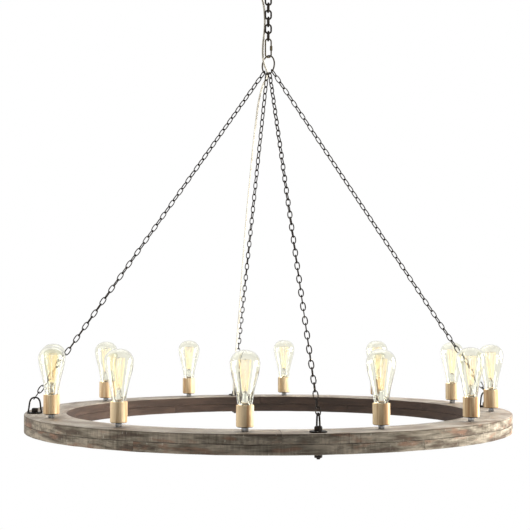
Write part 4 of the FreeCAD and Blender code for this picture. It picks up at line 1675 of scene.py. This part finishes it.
# === brackets ==============================================================================
@dataclass
class Brackets:
    """The iron arches with their discs, and the bolts and nuts that hold them."""

    foot_reach: float = 0.0158
    disc_radius: float = 0.0185
    disc_thickness: float = 0.0030
    disc_hole: float = 0.0044
    head_radius: float = 0.0086
    head_height: float = 0.010
    bolt_radius: float = 0.0040
    bolt_end: float = 0.0030
    threads: int = 9
    thread_pitch: float = 0.00125
    thread_depth: float = 0.0004
    nut_height: float = 0.0080
    nut_clearance: float = 0.00005

    def places(self) -> list[Matrix]:
        """Where each bracket stands."""
        return [standing(polar(BRACKET_CIRCLE, a, WHEEL_Z), a) for a in BRACKET_ANGLES]

    def build(self) -> None:
        """Builds and dresses the four brackets."""
        for pattern, name, node, finish, angle in (
            (self.arch(), "iron_arches", "chain_arches", IRON, 50),
            (self.disc(), "iron_discs", "bracket_discs", IRON, 35),
            (self.bolt(), "hex_bolts", "bracket_bolts", BLACK_OXIDE, 30),
            (self.nut(), "hex_nuts", "bracket_nuts", BLACK_OXIDE, 30),
        ):
            fit_to_wheel(pattern, self.places(), name, node, finish, angle)

    def arch(self) -> bpy.types.Object:
        """Bends one splayed arch, with its feet welded to the disc.

        Returns:
            The arch, standing at the origin.
        """
        half = [(0.0162, 0.0036), (0.0150, 0.0080), (0.0140, 0.0150), (0.0132, 0.0230)]
        half += [(0.0118, 0.0310), (0.0076, 0.0376)]
        points = [Vector((x, 0, z)) for x, z in half] + [Vector((0, 0, 0.0392))]
        points += [Vector((-x, 0, z)) for x, z in reversed(half)]
        wire = Bench.wire("arch wire", points, ARCH_WIRE, level=4, order=4)
        feet = [self.fillet(side) for side in (1, -1)]
        return Bench.join([wire, *feet], "arch pattern")

    def fillet(self, side: int) -> bpy.types.Object:
        """Turns the bead of weld round one foot of the arch.

        Args:
            side: 1 or -1, for one foot or the other.

        Returns:
            The bead.
        """
        base = self.disc_thickness
        outline = [(0.0033, base), (0.0029, base + 0.0007), (0.0023, base + 0.0016)]
        outline += [(0.0018, base + 0.0028), (0.0010, base + 0.0030), (0, base + 0.0030)]
        bead = Bench.turn("weld", outline, sides=12)
        bead.data.transform(Matrix.Translation((side * self.foot_reach, 0, 0)))
        return bead

    def disc(self) -> bpy.types.Object:
        """Turns one base disc with a chamfered edge.

        Returns:
            The disc, lying at the origin.
        """
        r, t, hole = self.disc_radius, self.disc_thickness, self.disc_hole
        outline = [(hole, 0), (r, 0), (r, t - 0.0008), (r - 0.0010, t), (hole, t)]
        disc = Bench.turn("disc pattern", outline, sides=40, closed=True)
        Bench.bevel(disc, width=0.00025, angle=30)
        return disc

    def bolt(self) -> bpy.types.Object:
        """Makes one hexagon bolt: a crowned head and a shank through the wheel.

        Returns:
            The bolt, with the wheel's top at the origin's height.
        """
        base, top = self.disc_thickness, self.disc_thickness + self.head_height
        r = self.head_radius
        outline = [(self.bolt_radius, base), (r - 0.0004, base), (r, base + 0.0005)]
        outline += [(r, top - 0.0022), (r - 0.0011, top - 0.0008), (r - 0.0026, top), (0, top)]
        head = Bench.turn("bolt head", outline, sides=HEXAGON)
        Bench.bevel(head, width=0.0004, angle=25)
        low = UNDERSIDE_Z - WHEEL_Z - self.nut_height - self.bolt_end
        shank = [(self.bolt_radius - 0.0008, low), (self.bolt_radius, low + 0.0008)]
        thread = low + 0.0008
        for i in range(self.threads):
            root_z = thread + 0.0006 + i * self.thread_pitch
            shank.append((self.bolt_radius - self.thread_depth, root_z))
            shank.append((self.bolt_radius, thread + self.thread_pitch * (i + 1)))
        shank.append((self.bolt_radius, base))
        rod = Bench.turn("bolt shank", shank, sides=16)
        Bench.lid(rod, lambda place: place.z < low + POLE)
        return Bench.join([head, rod], "bolt pattern")

    def nut(self) -> bpy.types.Object:
        """Makes one hexagon nut with chamfered corners.

        Returns:
            The nut, with the wheel's top at the origin's height.
        """
        high = UNDERSIDE_Z - WHEEL_Z
        low, r = high - self.nut_height, self.head_radius
        bore = self.bolt_radius + self.nut_clearance
        outline = [(bore, low), (r - 0.0011, low), (r, low + 0.0010), (r, high - 0.0010)]
        outline += [(r - 0.0011, high), (bore, high)]
        nut = Bench.turn("nut pattern", outline, sides=HEXAGON, closed=True)
        Bench.bevel(nut, width=0.0003, angle=25)
        return nut


# === wheel =================================================================================
@dataclass
class Wheel:
    """Two layers of sawn felloes with slightly uneven edges, and the cord's grommet."""

    outer_radius: float = 0.6100
    inner_radius: float = 0.5065
    felloes: int = 6
    upper_joint: float = 22.5
    lower_joint: float = 52.5
    joint_gap: float = 0.00005
    steps: int = 44
    edge: float = 0.0018
    seam_edge: float = 0.00015
    near_seam: float = 0.01
    wall_cuts: int = 3
    unevenness: float = 0.0011
    unevenness_size: float = 0.035
    unevenness_level: float = 0.85
    grommet_hole: float = 0.0022
    grommet_radius: float = 0.0055
    grommet_flange: float = 0.0075
    board_shift: Vector = Vector((1.7, 0.31, 0.23))

    def build(self) -> None:
        """Builds and dresses both layers."""
        wood = WeatheredWood("weathered_wood", "rough-sawn wood", WHEEL_Z, SEAM_Z)
        for name, node, low, high, joint, seed in (
            ("upper_boards", "upper_felloes", SEAM_Z, WHEEL_Z, self.upper_joint, 0),
            ("lower_boards", "lower_felloes", UNDERSIDE_Z, SEAM_Z, self.lower_joint, 7),
        ):
            pattern = self.felloe(low, high)
            boards = []
            for i in range(self.felloes):
                middle = joint + (i + 0.5) * 360.0 / self.felloes
                turn = Matrix.Rotation(math.radians(middle), 4, "Z")
                board = Bench.copy(pattern, Matrix.Identity(4), f"{name}_{i}")
                self.mark(board, seed + i)
                board.data.transform(turn)
                boards.append(board)
            bpy.data.objects.remove(pattern)
            piece = Bench.join(boards, name)
            self.roughen(piece)
            Bench.smooth(piece, angle=30)
            dress(piece, wood, Body.WHEEL, node)
        self.grommet()
        carry_over("wiring_harness", IVORY_VINYL)

    def felloe(self, low: float, high: float) -> bpy.types.Object:
        """Sweeps one board of the rim round its sixth of the wheel.

        The edges at the joint between the layers stay sharp.

        Args:
            low: The board's underside.
            high: The board's top.

        Returns:
            The board, with the middle of its length on the X axis.
        """
        Bench.clear()
        middle = (self.outer_radius + self.inner_radius) / 2
        place = (middle, 0, (low + high) / 2)
        bpy.ops.mesh.primitive_plane_add(size=1, location=place, rotation=(math.pi / 2, 0, 0))
        board = Bench.started("felloe pattern")
        Bench.pick(board)
        size = (self.outer_radius - self.inner_radius, 1, high - low)
        bpy.ops.transform.resize(value=size, center_override=place)
        for outside, offset in ((True, self.edge), (False, self.seam_edge)):
            Bench.pick(board, lambda at: (abs(at.z - SEAM_Z) > self.near_seam) == outside)
            bpy.ops.mesh.bevel(offset=offset, segments=2, affect="VERTICES")
        bpy.ops.mesh.select_all(action="SELECT")
        bpy.ops.mesh.delete(type="ONLY_FACE")
        bpy.ops.object.mode_set(mode="OBJECT")
        Bench.pick(board)
        bpy.ops.mesh.subdivide(number_cuts=self.wall_cuts)
        span = 2 * math.pi / self.felloes - self.joint_gap / middle
        bpy.ops.mesh.spin(steps=self.steps, angle=span, center=(0, 0, 0), axis=(0, 0, 1))
        bpy.ops.mesh.select_all(action="DESELECT")
        bpy.ops.mesh.select_non_manifold()
        bpy.ops.mesh.fill_holes(sides=0)
        Bench.close(board)
        lean = sum(math.atan2(p.co.y, p.co.x) for p in board.data.vertices)
        board.data.transform(Matrix.Rotation(-lean / len(board.data.vertices), 4, "Z"))
        return board

    def mark(self, board: bpy.types.Object, number: int) -> None:
        """Stores each point's place along, across and up its own board, shifted per board.

        Args:
            board: The board, before it is turned to its place.
            number: The board's number, which shifts its grain.
        """
        marks = board.data.attributes.new("board", "FLOAT_VECTOR", "POINT")
        for mark, point in zip(marks.data, board.data.vertices):
            across, along, up = point.co
            mark.vector = Vector((along, across, up)) + self.board_shift * number

    def roughen(self, piece: bpy.types.Object) -> None:
        """Pushes the boards' faces in and out a little, as a rough saw leaves them.

        Args:
            piece: One layer of boards.
        """
        clouds = bpy.data.textures.new("board unevenness", "CLOUDS")
        clouds.noise_scale = self.unevenness_size
        clouds.noise_depth = 2
        modifier = piece.modifiers.new("Unevenness", "DISPLACE")
        modifier.texture = clouds
        modifier.strength = self.unevenness
        modifier.mid_level = self.unevenness_level
        Bench.take(piece)
        bpy.ops.object.modifier_apply(modifier=modifier.name)

    def grommet(self) -> None:
        """Turns the grommet where the cord enters the wood."""
        base, hole = WHEEL_Z - 0.0005, self.grommet_hole
        r, flange = self.grommet_radius, self.grommet_flange
        outline = [(hole, base - 0.004), (r, base - 0.004), (r, base), (flange, base)]
        outline += [(flange, base + 0.0012), (r + 0.0004, base + 0.0025), (hole, base + 0.0025)]
        piece = Bench.turn("wheel_grommet", outline, sides=28, closed=True)
        Bench.bevel(piece, width=0.0004)
        piece.data.transform(Matrix.Translation(polar(GROMMET_RADIUS, GROMMET_ANGLE)))
        Bench.smooth(piece)
        dress(piece, RUBBER, Body.WHEEL, "cord_grommet")


# === sockets ===============================================================================
@dataclass
class Sockets:
    """Twelve sockets: metal spacer, washer and stem, lampholder and turned wooden sleeve."""

    spacer_height: float = 0.009
    spacer_radius: float = 0.0074
    spacer_bore: float = 0.0048
    spacer_chamfer: float = 0.0009
    spacer_sink: float = 0.0008
    stem_radius: float = 0.0046
    washer_bore: float = 0.0044
    washer_radius: float = 0.0165
    washer_thickness: float = 0.0012
    sleeve_radius: float = 0.0185
    sleeve_wall: float = 0.003
    sleeve_height: float = 0.0445
    holder_radius: float = 0.0151
    holder_bore: float = 0.0135
    holder_floor: float = 0.0115

    @property
    def sleeve_z(self) -> float:
        """The height of the sleeves' lower ends."""
        return WHEEL_Z + self.spacer_height + self.washer_thickness

    def places(self) -> list[Matrix]:
        """Where each socket stands, its patterns' heights counted from the ceiling."""
        return [standing(polar(SOCKET_CIRCLE, a), a) for a in socket_angles()]

    def build(self) -> None:
        """Builds and dresses the twelve sockets."""
        for pattern, name, node, finish in (
            (self.stem(), "socket_spacers", "socket_stems", ZINC),
            (self.washer(), "socket_washers", "socket_stems", IRON),
            (self.holder(), "socket_lampholders", "lampholders", PHENOLIC),
            (self.sleeve(), "wooden_sleeves", "socket_covers", SLEEVE_WOOD),
        ):
            fit_to_wheel(pattern, self.places(), name, node, finish, angle=30)

    def stem(self) -> bpy.types.Object:
        """Makes the tall hexagon spacer and the part of its stem that is in the wood.

        Returns:
            The spacer and stem, on the Z axis.
        """
        base, high = WHEEL_Z - self.spacer_sink, WHEEL_Z + self.spacer_height
        bore, r = self.spacer_bore, self.spacer_radius
        face = r - self.spacer_chamfer
        nut = [(bore, base), (face, base), (r, base + 0.0010), (r, high - 0.0010)]
        nut += [(face, high), (bore, high)]
        spacer = Bench.turn("spacer", nut, sides=HEXAGON, closed=True)
        Bench.bevel(spacer, width=0.0003, angle=25)
        outline = [(self.stem_radius, SEAM_Z + 0.001), (self.stem_radius, high - 0.0004)]
        rod = Bench.turn("threaded stem", outline, sides=20)
        return Bench.join([spacer, rod], "stem pattern")

    def washer(self) -> bpy.types.Object:
        """Turns the dark washer under the sleeve.

        Returns:
            The washer, on the Z axis.
        """
        low = WHEEL_Z + self.spacer_height
        high = low + self.washer_thickness
        bore, r = self.washer_bore, self.washer_radius
        outline = [(bore, low), (r - 0.0003, low), (r, low + 0.0003), (r, high), (bore, high)]
        return Bench.turn("washer pattern", outline, sides=40, closed=True)

    def holder(self) -> bpy.types.Object:
        """Turns the lampholder, a cup with a stepped rim.

        Returns:
            The lampholder, on the Z axis.
        """
        base, top = self.sleeve_z, self.sleeve_z + self.sleeve_height - 0.003
        r, bore, floor = self.holder_radius, self.holder_bore, base + self.holder_floor
        outline = [(r, base), (r, top - 0.004), (r - 0.0005, top - 0.0035), (r - 0.0005, top)]
        outline += [(bore + 0.0004, top), (bore, top - 0.0004), (bore, floor), (0, floor)]
        cup = Bench.turn("holder pattern", outline, sides=36)
        Bench.lid(cup, lambda place: place.z < base + POLE)
        return cup

    def sleeve(self) -> bpy.types.Object:
        """Turns one wooden sleeve with softened rims.

        Returns:
            The sleeve, on the Z axis.
        """
        low, high = self.sleeve_z + 0.0001, self.sleeve_z + self.sleeve_height
        r, bore = self.sleeve_radius, self.sleeve_radius - self.sleeve_wall
        outline = [(bore, low), (r - 0.0006, low), (r, low + 0.0006), (r, high - 0.0008)]
        outline += [(r - 0.0003, high - 0.0002), (r - 0.0009, high), (bore + 0.0005, high)]
        outline += [(bore, high - 0.0005)]
        return Bench.turn("sleeve pattern", outline, sides=48, closed=True)


# === bulbs =================================================================================
@dataclass
class Bulbs:
    """Twelve tall bulbs: glass, screw cap, glass stem and the filament on its wires."""

    wall: float = 0.0009
    sides: int = 48
    shoulder: float = 0.0860
    tip: float = 0.1133
    widest: float = 0.0320
    dome_steps: int = 12
    dome_fullness: float = 0.88
    cap_top: float = -0.0073
    cap_low: float = -0.0321
    cap_rim: float = 0.0012
    cap_turns: int = 5
    cap_pitch: float = 0.0036
    stem_low: float = -0.0066
    lead_wire: float = 0.0005
    hook_wire: float = 0.00035
    filament_wire: float = 0.0006
    strands: int = 14
    cage_top: float = 0.0920
    cage_low: float = 0.0290
    cage_top_radius: float = 0.0125
    cage_low_radius: float = 0.0050

    @property
    def base_z(self) -> float:
        """The height of the sleeves' rims, which the bulbs' sizes are counted from."""
        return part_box("socket_covers")[1].z

    def build(self) -> None:
        """Models one bulb and puts a copy in each socket."""
        parts = (
            (self.glass(), GLASS, "glass", "glass_bulb"),
            (self.cap(), CAP_METAL, "cap", "bulb_base"),
            (self.stem(), STEM_GLASS, "stem", "bulb_base"),
            (self.supports(), SUPPORT_WIRE, "supports", "bulb_base"),
            (self.filament(), FILAMENT, "filament", "bulb_base"),
        )
        for number, angle in enumerate(socket_angles(), 1):
            place = standing(polar(SOCKET_CIRCLE, angle, self.base_z), angle)
            for pattern, finish, part, node in parts:
                piece = Bench.copy(pattern, place, f"bulb_{number}_{part}")
                dress(piece, finish, f"bulb_{number}", f"{node}_{number}")
        for pattern, *_ in parts:
            bpy.data.objects.remove(pattern)

    def outline(self) -> list[tuple[float, float]]:
        """The glass's outline from its neck to its tip, (radius, height above the rims).

        Returns:
            The (radius, height) pairs.
        """
        flank = [(0.0124, -0.0070), (0.0134, -0.0045), (0.0147, -0.0010), (0.0156, 0.0030)]
        flank += [(0.0168, 0.0100), (0.0182, 0.0190), (0.0200, 0.0290), (0.0222, 0.0390)]
        flank += [(0.0248, 0.0490), (0.0275, 0.0590), (0.0299, 0.0690), (0.0314, 0.0780)]
        dome = []
        for i in range(self.dome_steps):
            angle = math.radians(i * 90.0 / self.dome_steps)
            radius = self.widest * math.cos(angle) ** self.dome_fullness
            dome.append((radius, self.shoulder + (self.tip - self.shoulder) * math.sin(angle)))
        return flank + dome

    def glass(self) -> bpy.types.Object:
        """Blows the glass: one closed wall, open at the neck.

        Returns:
            The glass, on the Z axis.
        """
        outside = self.outline()
        inside = []
        for (r, z), (r2, z2) in zip(outside, outside[1:] + [(0.0, self.tip)]):
            run = math.hypot(r2 - r, z2 - z)
            inside.append((r - self.wall * (z2 - z) / run, z + self.wall * (r2 - r) / run))
        inside[0] = (inside[0][0], outside[0][1])
        whole = outside + [(0.0, self.tip), (0.0, self.tip - self.wall)] + inside[::-1]
        piece = Bench.turn("glass pattern", whole, self.sides, closed=True)
        Bench.smooth(piece, angle=60)
        return piece

    def cap(self) -> bpy.types.Object:
        """Turns the screw cap: contact, insulator and rolled thread.

        Returns:
            The cap, on the Z axis.
        """
        top, low = self.cap_top, self.cap_low
        thread = top - self.cap_rim
        outline = [(0.0129, top), (0.0129, thread)]
        for i in range(self.cap_turns):
            for step, radius in ((0.25, 0.0124), (0.5, 0.0120), (0.75, 0.0124), (1.0, 0.0130)):
                outline.append((radius, thread - (i + step) * self.cap_pitch))
        outline += [(0.0118, low + 0.0030), (0.0070, low + 0.0012), (0.0052, low + 0.0010)]
        outline += [(0.0048, low + 0.0002), (0.0030, low), (0, low)]
        piece = Bench.turn("cap pattern", outline, sides=36)
        Bench.lid(piece, lambda place: place.z > top - POLE)
        Bench.smooth(piece, angle=50)
        return piece

    def stem(self) -> bpy.types.Object:
        """Turns the glass stem: flare, tube, pinch and the rod that holds the top wires.

        Returns:
            The stem, on the Z axis.
        """
        outline = [(0.0114, self.stem_low), (0.0108, -0.0040), (0.0094, 0.0), (0.0080, 0.0050)]
        outline += [(0.0068, 0.0110), (0.0060, 0.0170), (0.0056, 0.0215), (0.0044, 0.0245)]
        outline += [(0.0026, 0.0265), (0.0015, 0.0290), (0.0011, 0.0340), (0.0011, 0.0880)]
        outline += [(0.0017, 0.0905), (0.0020, 0.0925), (0.0013, 0.0945), (0, 0.0952)]
        piece = Bench.turn("stem pattern", outline, sides=20)
        Bench.lid(piece, lambda place: place.z < self.stem_low + POLE)
        Bench.smooth(piece, angle=50)
        return piece

    def corner(self, number: float, high: bool) -> Vector:
        """The place of one upper or lower bend of the filament.

        Args:
            number: The strand's number; halves lie between two strands.
            high: Whether the bend is an upper one.

        Returns:
            The place.
        """
        angle = number * 360.0 / self.strands
        if high:
            return polar(self.cage_top_radius, angle, self.cage_top)
        return polar(self.cage_low_radius, angle, self.cage_low)

    def supports(self) -> bpy.types.Object:
        """Bends the fine wires that lead to the filament and hold its bends.

        Returns:
            The wires as one mesh, on the Z axis.
        """
        made = []
        for side in (1, -1):
            path = [(0.0040, 0.0020), (0.0034, 0.0180), (0.0038, 0.0255), (0.0050, self.cage_low)]
            points = [Vector((side * x, 0, z)) for x, z in path]
            made.append(Bench.wire("lead", points, self.lead_wire, level=0))
        for i in range(0, self.strands, 2):
            hook = self.corner(i + 0.5, True)
            middle = Vector((hook.x * 0.5, hook.y * 0.5, self.cage_top + 0.0022))
            points = [Vector((0, 0, self.cage_top + 0.0010)), middle, hook]
            made.append(Bench.wire("top hook", points, self.hook_wire, level=0))
        for i in range(1, self.strands, 2):
            hook = self.corner(i + 0.5, False)
            points = [Vector((0, 0, 0.0275)), Vector((hook.x * 0.6, hook.y * 0.6, 0.0272)), hook]
            made.append(Bench.wire("low hook", points, self.hook_wire, level=0))
        piece = Bench.join(made, "supports pattern")
        Bench.smooth(piece, angle=60)
        return piece

    def filament(self) -> bpy.types.Object:
        """Winds the filament up and down round the cage.

        Returns:
            The filament, on the Z axis.
        """
        points = []
        for i in range(self.strands):
            upwards = i % 2 == 0
            points += [self.corner(i, not upwards), self.corner(i, upwards)]
        piece = Bench.wire("filament pattern", points, self.filament_wire, level=0, order=2)
        Bench.smooth(piece, angle=60)
        return piece


def main() -> None:
    """Builds the studio and the chandelier, from the ceiling down."""
    logging.basicConfig(level=logging.INFO, format="%(message)s")
    for assembly in (
        Studio(),
        Cord(),
        CeilingFitting(),
        MainChain(),
        LegChains(),
        Brackets(),
        Wheel(),
        Sockets(),
        Bulbs(),
    ):
        LOG.info("--- %s", type(assembly).__name__)
        assembly.build()


if __name__ == "__main__":
    main()
